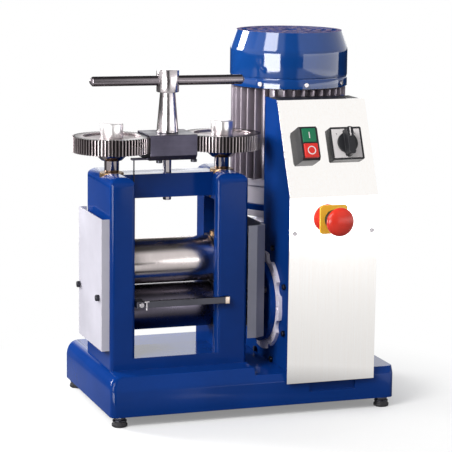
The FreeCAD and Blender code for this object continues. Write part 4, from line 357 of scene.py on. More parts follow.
# Fin aluminium with painted shade, darker towards the roots of the fins.
FIN_ALUMINIUM = Steel("finned_aluminium", (0.50, 0.44, 0.50), 0.4, Lay.ALONG_Z, 0.00004, 0.3, hollow=0.55,
                      metal=0.3)
BLACK_PLASTIC = Moulded("black_plastic", (0.018, 0.018, 0.022))
GREEN_PLASTIC = Moulded("green_plastic", (0.008, 0.19, 0.085), 0.3)
RED_PLASTIC = Moulded("red_plastic", (0.78, 0.030, 0.022), 0.28)
HEAD_RED = Moulded("emergency_red", (0.86, 0.040, 0.020), 0.2)
YELLOW_PLASTIC = Moulded("yellow_plastic", (0.98, 0.60, 0.05), 0.35)
WHITE_PLASTIC = Moulded("white_plastic", (0.84, 0.80, 0.80), 0.35)
RUBBER = Moulded("black_rubber", (0.022, 0.021, 0.024), 0.6)


# Mesh work


def softened(profile: Profile, radius: float) -> Profile:
    """Round the corners of a profile.

    Args:
        profile: corners as (along, across).
        radius: how far from the corner the rounding starts, at most.

    Returns:
        The profile with three points in place of each corner between its ends.
    """
    rounded = [profile[0]]
    for corners in zip(profile, profile[1:], profile[2:]):
        before, here, after = (Vector(corner) for corner in corners)
        into, out = before - here, after - here
        reach = min(radius, into.length * ROUNDED_SHARE, out.length * ROUNDED_SHARE)
        first, last = here + into.normalized() * reach, here + out.normalized() * reach
        rounded += [tuple(first), tuple((first + last) / 4 + here / 2), tuple(last)]
    return rounded + [profile[-1]]


class Shape:
    """A closed form under construction, in metres, in the machine's frame."""

    def __init__(self) -> None:
        """Start with nothing."""
        self.mesh = bmesh.new()

    @classmethod
    def of_node(cls, node: str) -> "Shape":
        """A merged copy of a CAD node, with its flat faces made whole again."""
        shape = cls()
        mesh = shape.mesh
        mesh.from_mesh(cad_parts[node].data)
        bmesh.ops.remove_doubles(mesh, verts=mesh.verts, dist=MERGED)
        bmesh.ops.dissolve_limit(mesh, angle_limit=FLAT, verts=mesh.verts, edges=mesh.edges)
        return shape

    def round_off(self, edges: Iterable[bmesh.types.BMEdge], width: float, segments: int) -> None:
        """Round some edges."""
        bmesh.ops.bevel(self.mesh, geom=list(edges), offset=width, segments=segments, profile=0.5,
                        affect="EDGES", material=-1)

    def block(self, low: Sequence[float], high: Sequence[float], edge: float = 0.0, segments: int = 3) -> "Shape":
        """Add a box, with its edges rounded if a width is given."""
        low, high = Vector(low), Vector(high)
        place = Matrix.Translation((low + high) / 2) @ Matrix.Diagonal((*(high - low), 1.0))
        made = bmesh.ops.create_cube(self.mesh, size=1.0, matrix=place)["verts"]
        if edge:
            self.round_off({line for vert in made for line in vert.link_edges}, edge, segments)
        return self

    def lathe(self, profile: Profile, start: Vector, axis: Vector = Z, steps: int = 64, tube: bool = False) -> "Shape":
        """Spin a profile round an axis.

        Args:
            profile: corners as (distance along the axis, radius).
            start: where the distances are counted from.
            axis: direction of the axis.
            steps: facets round the axis.
            tube: whether the profile is a closed loop away from the axis.

        Returns:
            This shape.
        """
        place = Matrix.Translation(start) @ Vector(axis).to_track_quat("Z", "Y").to_matrix().to_4x4()
        verts = [self.mesh.verts.new(place @ Vector((radius, 0, along))) for along, radius in profile]
        pairs = list(zip(verts, verts[1:])) + ([(verts[-1], verts[0])] if tube else [])
        edges = [self.mesh.edges.new(pair) for pair in pairs]
        bmesh.ops.spin(self.mesh, geom=verts + edges, cent=start, axis=axis, dvec=(0, 0, 0),
                       angle=2 * math.pi, steps=steps, use_merge=True, use_duplicate=False)
        bmesh.ops.remove_doubles(self.mesh, verts=self.mesh.verts, dist=SEAM)
        bmesh.ops.recalc_face_normals(self.mesh, faces=self.mesh.faces)
        return self

    def rod(self, radius: float, start: Sequence[float], end: Sequence[float], edge: float = 0.0,
            steps: int = 32) -> "Shape":
        """Add a round bar between two points, with rounded ends."""
        run = Vector(end) - Vector(start)
        profile = softened([(0, 0), (0, radius), (run.length, radius), (run.length, 0)], edge or radius * 0.04)
        return self.lathe(profile, Vector(start), run.normalized(), steps)

    def prism(self, outline: Sequence[Vector], sweep: Vector, edge: float = 0.0, segments: int = 2) -> "Shape":
        """Add a straight prism.

        Args:
            outline: flat corners.
            sweep: the vector it is extruded along.
            edge: width of the rounding round both ends, or 0.
            segments: facets of that rounding.

        Returns:
            This shape.
        """
        face = self.mesh.faces.new([self.mesh.verts.new(corner) for corner in outline])
        moved = bmesh.ops.extrude_face_region(self.mesh, geom=[face])["geom"]
        verts = [item for item in moved if isinstance(item, bmesh.types.BMVert)]
        bmesh.ops.translate(self.mesh, verts=verts, vec=sweep)
        far = [item for item in moved if isinstance(item, bmesh.types.BMFace)]
        bmesh.ops.recalc_face_normals(self.mesh, faces=self.mesh.faces)
        if edge:
            self.round_off({line for cap in far + [face] if cap.is_valid for line in cap.edges}, edge, segments)
        return self

    def merge(self, other: "Shape") -> "Shape":
        """Add another shape's shells beside this one's."""
        kept = bpy.data.meshes.new("merge")
        other.mesh.to_mesh(kept)
        self.mesh.from_mesh(kept)
        bpy.data.meshes.remove(kept)
        return self

    def moved(self, place: Matrix) -> "Shape":
        """Move the whole shape."""
        bmesh.ops.transform(self.mesh, matrix=place, verts=self.mesh.verts)
        return self

    def cut(self, tool: "Shape") -> "Shape":
        """Take another shape's volume away, with the exact boolean."""
        objects = []
        for shape in (self, tool):
            data = bpy.data.meshes.new("combine")
            shape.mesh.to_mesh(data)
            objects.append(bpy.data.objects.new("combine", data))
            bpy.context.scene.collection.objects.link(objects[-1])
        step = objects[0].modifiers.new("combine", "BOOLEAN")
        step.operation, step.solver, step.object = "DIFFERENCE", "EXACT", objects[1]
        graph = bpy.context.evaluated_depsgraph_get()
        result = bpy.data.meshes.new_from_object(objects[0].evaluated_get(graph))
        self.mesh.clear()
        self.mesh.from_mesh(result)
        for item in objects:
            data = item.data
            bpy.data.objects.remove(item)
            bpy.data.meshes.remove(data)
        bpy.data.meshes.remove(result)
        return self

    def only(self, wanted: Callable[[Vector], bool]) -> "Shape":
        """Keep the faces whose centres pass a test."""
        lost = [face for face in self.mesh.faces if not wanted(face.calc_center_median())]
        bmesh.ops.delete(self.mesh, geom=lost, context="FACES")
        return self

    def finish(self, name: str, finish: Finish, body: str = FRAME, node: str = "", soften: float = 0.0,
               sharp: float = 32.0, exposed: Optional[Callable[[Vector], float]] = None) -> None:
        """Make the object, dress it and let it ride.

        Args:
            name: the piece's name.
            finish: its finish.
            body: the body that it moves with.
            node: CAD node that it replaces, if any.
            soften: width of a rounding put on every sharp edge, or 0.
            sharp: angle in degrees above which an edge stays hard.
            exposed: how far a point stands out of the hollows between teeth or fins, from 0 to 1; it sets the painted
                shade in those hollows and the painted light on what stands out.
        """
        data = bpy.data.meshes.new(name)
        self.mesh.to_mesh(data)
        self.mesh.free()
        data.materials.clear()
        data.materials.append(finish.material())
        data.polygons.foreach_set("use_smooth", [True] * len(data.polygons))
        data.polygons.foreach_set("material_index", [0] * len(data.polygons))
        data.set_sharp_from_angle(angle=math.radians(sharp))
        if exposed:
            shares = [min(1.0, max(0.0, exposed(vert.co))) for vert in data.vertices]
            data.attributes.new(PAINTED_LIGHT_ATTRIBUTE, "FLOAT", "POINT").data.foreach_set("value", shares)
        piece = bpy.data.objects.new(name, data)
        bpy.context.scene.collection.objects.link(piece)
        if soften:
            soft = piece.modifiers.new("soft_edges", "BEVEL")
            soft.width, soft.segments = soften, 3
            soft.limit_method, soft.angle_limit = "ANGLE", math.radians(sharp)
            soft.harden_normals = soft.use_clamp_overlap = True
        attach(piece, body)
        if node:
            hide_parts(node)
        LOG.info("%s: %d faces", name, len(data.polygons))

    def skin(self, node: str, finish: Finish, body: str = FRAME, **options: object) -> None:
        """Finish the shape as the piece that takes a CAD node's place."""
        self.finish(node + "_skin", finish, body, node, **options)


def middle(node: str) -> Vector:
    """Centre of a CAD node's box."""
    low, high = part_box(node)
    return (low + high) / 2


def foot(node: str) -> Vector:
    """Where a CAD node's upright axis meets the bottom of its box."""
    low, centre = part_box(node)[0], middle(node)
    return Vector((centre.x, centre.y, low.z))


def round_axis(radius: float, turn: float) -> Vector:
    """A level step out from an upright axis."""
    return Vector((radius * math.cos(turn), radius * math.sin(turn), 0))


def flat_distance(spot: Vector, axis: Vector) -> float:
    """How far a point is from an upright axis."""
    return (spot.xy - axis.xy).length


def dress(finish: Finish, *nodes: str) -> None:
    """Give CAD nodes that keep their own shape a finish."""
    for node in nodes:
        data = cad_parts[node].data
        data.materials.clear()
        data.materials.append(finish.material())
        LOG.info("%s keeps its shape, in %s", node, finish.name)


def carry(nodes: dict[str, tuple[Finish, float]], body: str = FRAME) -> None:
    """Carry CAD nodes over with rounded edges.

    Args:
        nodes: node to its finish and the width of its edges.
        body: the body that they ride on.
    """
    for node, (finish, width) in nodes.items():
        Shape.of_node(node).skin(node, finish, body, soften=width)


# Sub-assemblies


@dataclass
class BaseCasting:
    """Stepped hollow base with bevelled upper edges."""

    corner: float = 0.008
    corner_steps: int = 6
    front_bevel: float = 0.010
    left_bevel: float = 0.014
    right_bevel: float = 0.0015
    rear_bevel: float = 0.001
    drop: float = 0.021
    arc_steps: int = 7
    step_gap: float = 0.0005
    step_drop: float = 0.0102
    wall: float = 0.009
    deck: float = 0.012
    rib: float = 0.010
    recess_from_right: float = 0.131
    recess_width: float = 0.070
    recess_low_z: float = 0.0315
    recess_height: float = 0.016
    recess_depth: float = 0.004
    edge: float = 0.0010

    def _foot_loop(self, mesh: bmesh.types.BMesh, low: Vector, high: Vector) -> list[bmesh.types.BMEdge]:
        """The round cornered outline that the casting stands on."""
        verts = []
        left, right = low.x + self.corner, high.x - self.corner
        front, rear = low.y + self.corner, high.y - self.corner
        for corner, (x, y) in enumerate(((right, rear), (left, rear), (left, front), (right, front))):
            for part in range(self.corner_steps + 1):
                turn = math.radians(90 * (corner + part / self.corner_steps))
                verts.append(mesh.verts.new((x + self.corner * math.cos(turn),
                                             y + self.corner * math.sin(turn), low.z)))
        return [mesh.edges.new(pair) for pair in zip(verts, verts[1:] + verts[:1])]

    def _hull(self, low: Vector, high: Vector) -> Shape:
        """The outside: straight walls, a straight front bevel, the other upper edges rounded over."""
        shape = Shape()
        mesh = shape.mesh
        loop = self._foot_loop(mesh, low, high)
        bmesh.ops.contextual_create(mesh, geom=loop)
        before_low, before_high = low.copy(), high.copy()
        before_high.z = low.z
        for step in range(self.arc_steps + 1):
            turn = math.pi / 2 * step / self.arc_steps
            rise, draw = math.sin(turn), 1 - math.cos(turn)
            z = high.z - self.drop * (1 - rise)
            after_low = Vector((low.x + self.left_bevel * draw, low.y + self.front_bevel * rise, z))
            after_high = Vector((high.x - self.right_bevel * draw, high.y - self.rear_bevel * draw, z))
            made = bmesh.ops.extrude_edge_only(mesh, edges=loop)["geom"]
            loop = [item for item in made if isinstance(item, bmesh.types.BMEdge)]
            ring = [item for item in made if isinstance(item, bmesh.types.BMVert)]
            before_centre, after_centre = (before_low + before_high) / 2, (after_low + after_high) / 2
            size = [(after_high[k] - after_low[k]) / (before_high[k] - before_low[k]) for k in range(2)]
            bmesh.ops.scale(mesh, verts=ring, vec=(*size, 1.0), space=Matrix.Translation(-before_centre))
            move = after_centre - before_centre
            move.z = z - ring[0].co.z
            bmesh.ops.translate(mesh, verts=ring, vec=move)
            before_low, before_high = after_low, after_high
        bmesh.ops.contextual_create(mesh, geom=loop)
        bmesh.ops.recalc_face_normals(mesh, faces=mesh.faces)
        return shape

    def build(self) -> None:
        """Make the casting and hollow it out."""
        low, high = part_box("base_casting")
        step_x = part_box("roller_stand")[1].x - self.step_gap
        floor_z = high.z - self.step_drop
        front, left = low.y + self.wall, low.x + self.wall
        rear, right = high.y - self.wall, high.x - self.wall
        recess_x, recess_top_z = high.x - self.recess_from_right, self.recess_low_z + self.recess_height
        casting = self._hull(low, high)
        for cutter in (
            ((step_x, low.y - PAST, floor_z), high + Vector((PAST, PAST, PAST))),
            ((left, front, low.z - PAST), (step_x - self.rib / 2, rear, high.z - self.deck)),
            ((step_x + self.rib / 2, front, low.z - PAST), (right, rear, floor_z - self.deck)),
            ((recess_x, low.y - PAST, self.recess_low_z),
             (recess_x + self.recess_width, low.y + self.recess_depth, recess_top_z)),
        ):
            casting.cut(Shape().block(*cutter))
        casting.skin("base_casting", BLUE, soften=self.edge)


@dataclass
class Feet:
    """Rubber pads with a groove, and a washer, nut and stud in each."""

    radius: float = 0.011
    lower_edge: tuple[float, float] = (0.0012, 0.0016)
    groove: tuple[tuple[float, float], ...] = ((0.0035, 0.0), (0.003, 0.0012), (0.0015, 0.0012),
                                               (0.001, 0.0018), (0.0, 0.0022))
    edge: float = 0.0006
    washer_radius: float = 0.010
    washer: float = 0.0015
    washer_edge: float = 0.0003
    nut_radius: float = 0.0085
    nut_edge: float = 0.0004
    stud_radius: float = 0.005
    stud_sunk: float = 0.001

    def build(self) -> None:
        """Make the pads as one piece and the metal as another."""
        low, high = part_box("rubber_feet")
        stud_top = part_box("foot_studs")[1].z
        base_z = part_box("base_casting")[0].z
        pad, radius = high.z - low.z, self.radius
        nut_low = pad + self.washer + FINE
        rise, inset = self.lower_edge
        profile = softened([(0, 0), (0, radius - inset), (rise, radius),
                            *((pad - below, radius - inward) for below, inward in self.groove), (pad, 0)], self.edge)
        pads, studs = Shape(), Shape()
        for x in (low.x + radius, high.x - radius):
            for y in (low.y + radius, high.y - radius):
                spot = Vector((x, y, 0))
                pads.merge(Shape().lathe(profile, spot, steps=40))
                studs.merge(Shape().rod(self.washer_radius, spot + Z * pad, spot + Z * (pad + self.washer),
                                        self.washer_edge))
                nut = bmesh.ops.create_cone(studs.mesh, cap_ends=True, segments=6, radius1=self.nut_radius,
                                            radius2=self.nut_radius, depth=base_z - nut_low,
                                            matrix=Matrix.Translation(spot + Z * (base_z + nut_low) / 2))
                studs.round_off({edge for vert in nut["verts"] for edge in vert.link_edges}, self.nut_edge, 2)
                studs.merge(Shape().rod(self.stud_radius, spot + Z * (base_z - self.stud_sunk),
                                        spot + Z * stud_top))
        pads.skin("rubber_feet", RUBBER)
        studs.skin("foot_studs", DARK_STEEL)


@dataclass
class RollerStand:
    """Cast stand with its bearing blocks, bushes, nuts, feed rest, covers and their screws."""

    cast_edge: float = 0.0016
    block_edge: float = 0.0006
    sheet_edge: float = 0.0005
    highlight_length: float = 0.0062
    end_edge: float = 0.0006
    skin_depth: float = 0.0002
    panel_zone: float = 0.03
    screw_radius: float = 0.0032
    screw_head: float = 0.0012
    screw_edge: float = 0.0002
    slot: tuple[float, float, float] = (0.005, 0.0007, 0.00035)
    slot_turns: tuple[float, float] = (35.0, -40.0)

    def _feed_rest(self) -> None:
        """The dark bar, and a painted highlight: a bright metal patch at the right end of its front."""
        low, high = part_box("feed_rest")
        Shape.of_node("feed_rest").skin("feed_rest", REST_STEEL, soften=self.block_edge)
        # Painted highlight: a thin bright skin on the front of the bar's right end.
        Shape().block((high.x - self.highlight_length, low.y - self.skin_depth, low.z + self.end_edge),
                      (high.x - 2 * self.skin_depth, low.y + self.end_edge, high.z - self.end_edge),
                      self.skin_depth, 2).finish("feed_rest_painted_highlight", HIGHLIGHT_STEEL)

    def _screws(self) -> None:
        """Dark cover screws, and bright slotted screws in the front panel."""
        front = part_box("front_panel")[0].y
        zone = front + self.panel_zone
        Shape.of_node("sheet_metal_screws").only(lambda spot: spot.y > zone).finish(
            "cover_screws", DARK_STEEL, node="sheet_metal_screws", soften=self.block_edge)
        screws = Shape.of_node("sheet_metal_screws").only(lambda spot: spot.y < zone)
        xs, zs = ([vert.co[axis] for vert in screws.mesh.verts] for axis in (0, 2))
        half_length, depth, half_width = self.slot
        for x, turn in zip((min(xs) + self.screw_radius, max(xs) - self.screw_radius), self.slot_turns):
            groove = Shape().block((-half_length, -0.1 * PAST, -half_width), (half_length, depth, half_width))
            place = Matrix.Translation((x, front - self.screw_head, (min(zs) + max(zs)) / 2))
            screws.cut(groove.moved(place @ Matrix.Rotation(math.radians(turn), 4, "Y")))
        screws.finish("panel_screws", ZINC, soften=self.screw_edge)

    def build(self) -> None:
        """Carry the stand and what is fixed in it."""
        carry({
            "roller_stand": (BLUE, self.cast_edge),
            "lower_chock_left": (BLOCK_STEEL, self.block_edge),
            "lower_chock_right": (BLOCK_STEEL, self.block_edge),
            "stand_fasteners": (ZINC, 0.0003),
            "screwdown_nuts": (BRONZE, 0.0004),
            "left_gear_cover": (LIGHT_SHEET, self.sheet_edge),
            # The right cover takes the darker copy of the cover paint: painted shade.
            "right_gear_cover": (SHADED_COVER_SHEET, self.sheet_edge),
        })
        carry({f"upper_chock_{side}": (BLOCK_STEEL, self.block_edge) for side in ("left", "right")},
              "upper_chocks")
        dress(BRONZE, "lower_bushes", "upper_bronze_bearings")
        self._feed_rest()
        self._screws()


@dataclass
class Roll:
    """One forged roll with its necks, turned and ground."""

    node: str
    finish: Finish
    half_face: float = 0.0625
    barrel: float = 0.0325
    shoulder: float = 0.022
    neck: float = 0.0175
    gear_seat: float = 0.015
    stub: float = 0.014
    post: float = 0.0362
    neck_out: float = 0.0015
    gear_end: float = 0.021
    stub_beyond: float = 0.05
    edge: float = 0.0009

    def build(self) -> None:
        """Turn the roll from its CAD length, with fine corners."""
        low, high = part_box(self.node)
        stand_low, stand_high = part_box("roller_stand")
        centre_x = (stand_low.x + stand_high.x) / 2
        left, right = stand_low.x + self.post, stand_high.x - self.post
        face_low, face_high = centre_x - self.half_face, centre_x + self.half_face
        seat_x, gear_end = stand_high.x + self.neck_out, stand_high.x + self.gear_end
        corners = [(low.x, 0), (low.x, self.neck), (left, self.neck), (left, self.shoulder),
                   (face_low, self.shoulder), (face_low, self.barrel), (face_high, self.barrel),
                   (face_high, self.shoulder), (right, self.shoulder), (right, self.neck), (seat_x, self.neck),
                   (seat_x, self.gear_seat)]
        if high.x > stand_high.x + self.stub_beyond:
            corners += [(gear_end, self.gear_seat), (gear_end, self.stub), (high.x, self.stub)]
        else:
            corners += [(high.x, self.gear_seat)]
        profile = softened([(x - low.x, radius) for x, radius in corners + [(high.x, 0)]], self.edge)
        axis = middle(self.node)
        Shape().lathe(profile, Vector((low.x, axis.y, axis.z)), X, 96).skin(self.node, self.finish, self.node)


@dataclass
class Screwdown:
    """Geared hand screwdown: carrier, two screws with their gears, pinion, spindle and cross bar."""

    gear_module: float = 0.0015
    gear_teeth: int = 72
    root_depth: float = 1.25
    tooth_shares: tuple[float, float, float] = (0.62, 0.49, 0.26)
    tooth_chamfer: float = 0.00025
    # Share of painted light on the teeth and rim, against 1 in the recess.
    painted_tooth_light: float = 0.55
    recess: float = 0.0405
    recess_depth: float = 0.0025
    recess_edge: float = 0.0008
    turned_edge: float = 0.0008
    tip: float = 0.009
    tip_height: float = 0.003
    screw: float = 0.0105
    thread_root: float = 0.0093
    pitch: float = 0.002
    root_span: tuple[float, float] = (0.45, 0.55)
    thread_out: float = 0.002
    collar_neck: float = 0.0145
    collar: float = 0.02475
    collar_height: float = 0.012
    collar_rim: float = 0.002
    gear_seat: float = 0.014
    head: float = 0.016
    guide: float = 0.00595
    journal: float = 0.009
    taper_foot: float = 0.0153
    taper_top: float = 0.01075
    foot_rim: float = 0.003
    hub_height: float = 0.0316
    spindle_edge: float = 0.0013
    play: float = 0.0003
    bar: float = 0.007
    bar_half: float = 0.1125
    bar_end: float = 0.0023
    bar_taper: float = 0.004
    bar_turn: float = -3.0

    def _gear(self, side: str, half_pitch: float) -> None:
        """A screw gear with chamfered teeth and a recess."""
        low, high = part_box(side + "_screw_gear")
        centre = foot(side + "_screw_gear")
        pitch = self.gear_module * self.gear_teeth / 2
        root, depth = pitch - self.root_depth * self.gear_module, (self.root_depth + 1) * self.gear_module
        levels = tuple(zip((root, pitch, pitch + self.gear_module), self.tooth_shares))
        flank = [(radius, -share / 2) for radius, share in levels]
        flank += [(radius, share / 2) for radius, share in reversed(levels)]
        step = 2 * math.pi / self.gear_teeth
        outline = []
        for tooth in range(self.gear_teeth):
            for radius, share in flank:
                outline.append(centre + round_axis(radius, step * (tooth + half_pitch) + step * share))
        top = high.z - low.z
        gear = Shape().prism(outline, Z * top, edge=self.tooth_chamfer, segments=1)
        web = top - self.recess_depth
        cutter = [(web, 0), (web, self.recess - self.recess_edge), (web + self.recess_edge, self.recess),
                  (top + 0.2 * PAST, self.recess), (top + 0.2 * PAST, 0)]
        gear.cut(Shape().lathe(cutter, centre, Z, 96))

        def exposed(spot: Vector) -> float:
            """Painted light and shade: 1 within the recess, which is painted lighter, and outside it a smaller share
            that falls to painted shade at the roots of the teeth.
            """
            away = flat_distance(spot, centre)
            return 1.0 if away < self.recess + 4 * FINE else self.painted_tooth_light * min(1.0, (away - root) / depth)

        gear.skin(side + "_screw_gear", GEAR_STEEL, side + "_screw", sharp=25, exposed=exposed)

    def _screw(self, side: str) -> None:
        """A screwdown screw with cut threads, cone collar and dial head."""
        node = side + "_screw"
        low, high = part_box(node)
        collar, gear_top = (corner.z - low.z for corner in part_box(side + "_screw_gear"))
        web, top = gear_top - self.recess_depth, high.z - low.z
        thread_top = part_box("roller_stand")[1].z + self.thread_out - low.z
        threads: Profile = [(0, 0), (0, self.tip), (self.tip_height, self.screw)]
        for turn in range(int((thread_top - self.tip_height) / self.pitch - 0.5)):
            at = self.tip_height + turn * self.pitch
            threads += [(at, self.screw), *((at + self.pitch * share, self.thread_root) for share in self.root_span)]
        neck = collar - self.collar_height
        cone = [(thread_top, self.screw), (neck, self.screw), (neck, self.collar_neck),
                (collar - self.collar_rim, self.collar), (collar, self.collar), (collar, self.gear_seat),
                (web, self.gear_seat), (web, 0)]
        Shape().lathe(threads + softened(cone, self.turned_edge), foot(node)).skin(node, SCREW_STEEL, node)
        # The dial head is split off in the lighter steel: painted light on the top of the screw.
        dial = softened([(web, 0), (web, self.head), (top, self.head), (top, 0)], self.turned_edge)
        Shape().lathe(dial, foot(node)).finish(side + "_dial", LIT_DIAL_STEEL, node)

    def _spindle(self) -> None:
        """Tapered spindle with its hub, and the cross bar through it."""
        low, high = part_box("handle_spindle")
        carrier_low, carrier_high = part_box("gear_carrier")
        under, over = carrier_low.z - self.play, carrier_high.z + self.play
        hub = high.z - self.hub_height
        corners = [(low.z, 0), (low.z, self.guide), (under, self.guide), (under, self.journal),
                   (over, self.journal), (over, self.head), (over + self.foot_rim, self.taper_foot),
                   (hub, self.taper_top), (hub, self.head), (high.z, self.head), (high.z, 0)]
        profile = softened([(z - low.z, radius) for z, radius in corners], self.spindle_edge)
        spindle = Shape().lathe(profile, foot("handle_spindle"), Z, 72)
        bar_middle = middle("handle_bar")
        run = Matrix.Rotation(math.radians(self.bar_turn), 4, "Z") @ X
        reach = run * 4 * PAST
        spindle.cut(Shape().rod(self.bar + FINE / 2, bar_middle - reach, bar_middle + reach, FINE, 48))
        spindle.skin("handle_spindle", TURNED_STEEL, "handle")
        length = 2 * self.bar_half
        bar = [(0, 0), (0, self.bar_end), (self.bar_taper, self.bar), (length - self.bar_taper, self.bar),
               (length, self.bar_end), (length, 0)]
        Shape().lathe(softened(bar, self.turned_edge), bar_middle - run * self.bar_half, run, 40).skin(
            "handle_bar", BAR_STEEL, "handle")

    def build(self) -> None:
        """Make every piece of the screwdown."""
        carry({"gear_carrier": (BLOCK_STEEL, 0.0007), "carrier_screws": (DARK_STEEL, 0.0006),
               "gap_pointer": (DARK_STEEL, 0.0003)}, "gear_carriage")
        carry({"drive_pinion": (HIDDEN_GEAR_STEEL, 0.0)}, "handle")
        for side, half_pitch in (("left", 0.0), ("right", 0.5)):
            self._gear(side, half_pitch)
            self._screw(side)
        self._spindle()


@dataclass
class Slope:
    """The front panel's sloping upper part, on which the controls sit."""

    bend_z: float = 0.3133
    angle: float = math.radians(66.2)

    def place(self) -> Matrix:
        """From (across, up the slope, outwards) at the panel's bend to the machine's frame."""
        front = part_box("front_panel")[0].y
        return Matrix.Translation((0, front, self.bend_z)) @ Matrix.Rotation(self.angle, 4, "X")

    def box(self, node: str) -> tuple[Vector, Vector]:
        """A node's lowest and highest corner in the slope's own directions."""
        back = self.place().inverted()
        points = [back @ vert.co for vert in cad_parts[node].data.vertices]
        return (Vector([min(point[k] for point in points) for k in range(3)]),
                Vector([max(point[k] for point in points) for k in range(3)]))


@dataclass
class Cabinet:
    """Control cabinet: side plates, polished bent front panel and top plate."""

    sheet: float = 0.0015
    slanted_sheet: float = 1.09
    bend: float = 0.0025
    fold: tuple[tuple[float, float], ...] = ((0.0, -1.0), (0.10, 0.0), (0.44, 1.0))
    lean: float = 0.0575
    edge: float = 0.0005
    panel_edge: float = 0.0003
    panel_soften: float = 0.0006

    def build(self) -> None:
        """Fold the front panel from one sheet, and carry the rest."""
        low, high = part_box("front_panel")
        bend_z = Slope().bend_z
        folded = ((self.bend * back, bend_z + self.bend * up) for back, up in self.fold)
        outer = [Vector((low.x, low.y + back, z)) for back, z in ((0, low.z), *folded, (self.lean, high.z))]
        inner = [point + Y * self.sheet for point in outer]
        inner[-1] = outer[-1] + Y * (self.sheet * self.slanted_sheet)
        Shape().prism(outer + inner[::-1], X * (high.x - low.x), self.panel_edge, 2).skin(
            "front_panel", MIRROR_SHEET, soften=self.panel_soften, sharp=20)
        carry({
            "cabinet_left_side": (BLUE_SHEET, self.edge),
            "cabinet_rear_shell": (BLUE_SHEET, self.edge),
            "cabinet_top_plate": (BLACK_PAINT, 0.0003),
            "cable_gland": (BLACK_PLASTIC, self.edge),
        })


class Mark(Enum):
    """Marks on the start and stop buttons."""

    BAR = "bar"
    RING = "ring"


@dataclass
class Controls:
    """Start and stop buttons, selector switch and emergency stop."""

    slope: Slope
    mark: float = 0.0003
    half_bar: tuple[float, float] = (0.0007, 0.0045)
    ring: tuple[float, float] = (0.0048, 0.0062)
    cap: float = 0.008
    cap_edge: float = 0.0009
    stem: float = 0.004
    sunk: float = 0.0002
    frame_width: float = 0.0028
    face: tuple[float, float] = (0.0012, 0.0003)
    face_hole: float = 0.0042
    tick_circle: float = 0.0188
    tick: tuple[float, float] = (0.0004, 0.0022)
    line: tuple[float, float, float] = (0.0008, 0.006, 0.0015)
    knob_edge: float = 0.0012
    head_back: tuple[tuple[float, float], ...] = ((0.0, 0.0), (0.0, 0.0115), (0.0012, 0.0125))
    head_rim: tuple[tuple[float, float], ...] = ((0.0075, 0.0006), (0.0086, 0.0))
    dome: float = 0.0085

    def _set(self, shape: Shape, name: str, finish: Finish, body: str = FRAME, node: str = "") -> None:
        """Move a shape from the slope's directions into place and finish it."""
        shape.moved(self.slope.place()).finish(name, finish, body, node)

    def _button(self, node: str, finish: Finish, mark: Mark) -> None:
        """A square button on its stem, with its mark raised on it."""
        low, high = self.slope.box(node)
        x, y, _ = (low + high) / 2
        top = high.z
        cap = Shape().block((low.x, low.y, top - self.cap), high, self.cap_edge)
        cap.merge(Shape().rod(self.stem, (x, y, low.z), (x, y, top - self.cap + 5 * FINE)))
        self._set(cap, node + "_cap", finish, node, node)
        sign = Shape()
        if mark is Mark.BAR:
            across, up = self.half_bar
            sign.block((x - across, y - up, top - self.sunk), (x + across, y + up, top + self.mark), FINE, 1)
        else:
            inside, outside = self.ring
            ring = [(-self.sunk, inside), (self.mark, inside), (self.mark, outside), (-self.sunk, outside)]
            sign.lathe(ring, Vector((x, y, top)), Z, 40, tube=True)
        self._set(sign, node + "_mark", WHITE_PLASTIC, node)

    def _selector(self) -> None:
        """White face in a black frame, with the knob and its white line."""
        low, high = self.slope.box("selector_plate")
        x, y, _ = (low + high) / 2
        top, rim = high.z, self.frame_width
        Shape.of_node("selector_plate").skin("selector_plate", BLACK_PLASTIC, soften=0.0005)
        back, front = (top - below for below in self.face)
        face = Shape().block((low.x + rim, low.y + rim, back), (high.x - rim, high.y - rim, front), 2 * FINE, 1)
        face.cut(Shape().rod(self.face_hole, (x, y, top - 0.3 * PAST), (x, y, top + 0.3 * PAST)))
        self._set(face, "selector_face", WHITE_PLASTIC)
        ticks = Shape()
        half, length = self.tick
        for degrees in (-45, 0, 45):
            turn = math.radians(90 - degrees)
            place = Matrix.Translation(Vector((x, y, front)) + round_axis(self.tick_circle, turn))
            ticks.merge(Shape().block((-half, 0.0, -FINE), (half, length, 2 * FINE), FINE, 1)
                        .moved(place @ Matrix.Rotation(turn - math.pi / 2, 4, "Z")))
        self._set(ticks, "selector_ticks", BLACK_PLASTIC)
        Shape.of_node("selector_knob").skin("selector_knob", BLACK_PLASTIC, "selector_knob", soften=self.knob_edge)
        knob = self.slope.box("selector_knob")[1]
        half_width, start, from_end = self.line
        line = Shape().block((x - half_width, y + start, knob.z - self.sunk),
                             (x + half_width, knob.y - from_end, knob.z + self.sunk), FINE, 1)
        self._set(line, "selector_line", WHITE_PLASTIC, "selector_knob")

    def _emergency_stop(self) -> None:
        """Yellow plate, collar, stem and a domed mushroom head."""
        carry({"estop_plate": (YELLOW_PLASTIC, 0.0005), "estop_collar": (BLACK_PLASTIC, 0.0006)})
        dress(BLACK_PLASTIC, "estop_stem")
        low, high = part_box("estop_mushroom")
        centre = middle("estop_mushroom")
        radius, depth = (high.x - low.x) / 2, high.y - low.y
        profile = [*self.head_back, *((along, radius - inset) for along, inset in self.head_rim)]
        for degrees in range(90, -1, -9):
            turn = math.radians(degrees)
            profile.append((depth - self.dome * (1 - math.cos(turn)), radius * math.sin(turn)))
        Shape().lathe(profile, Vector((centre.x, high.y, centre.z)), -Y, 72).skin(
            "estop_mushroom", HEAD_RED, "estop_mushroom")

    def build(self) -> None:
        """Make every control."""
        carry({"switch_housing": (BLACK_PLASTIC, 0.0006)})
        self._button("start_button", GREEN_PLASTIC, Mark.BAR)
        self._button("stop_button", RED_PLASTIC, Mark.RING)
        self._selector()
        self._emergency_stop()
        dress(BLACK_PLASTIC, "contact_blocks")


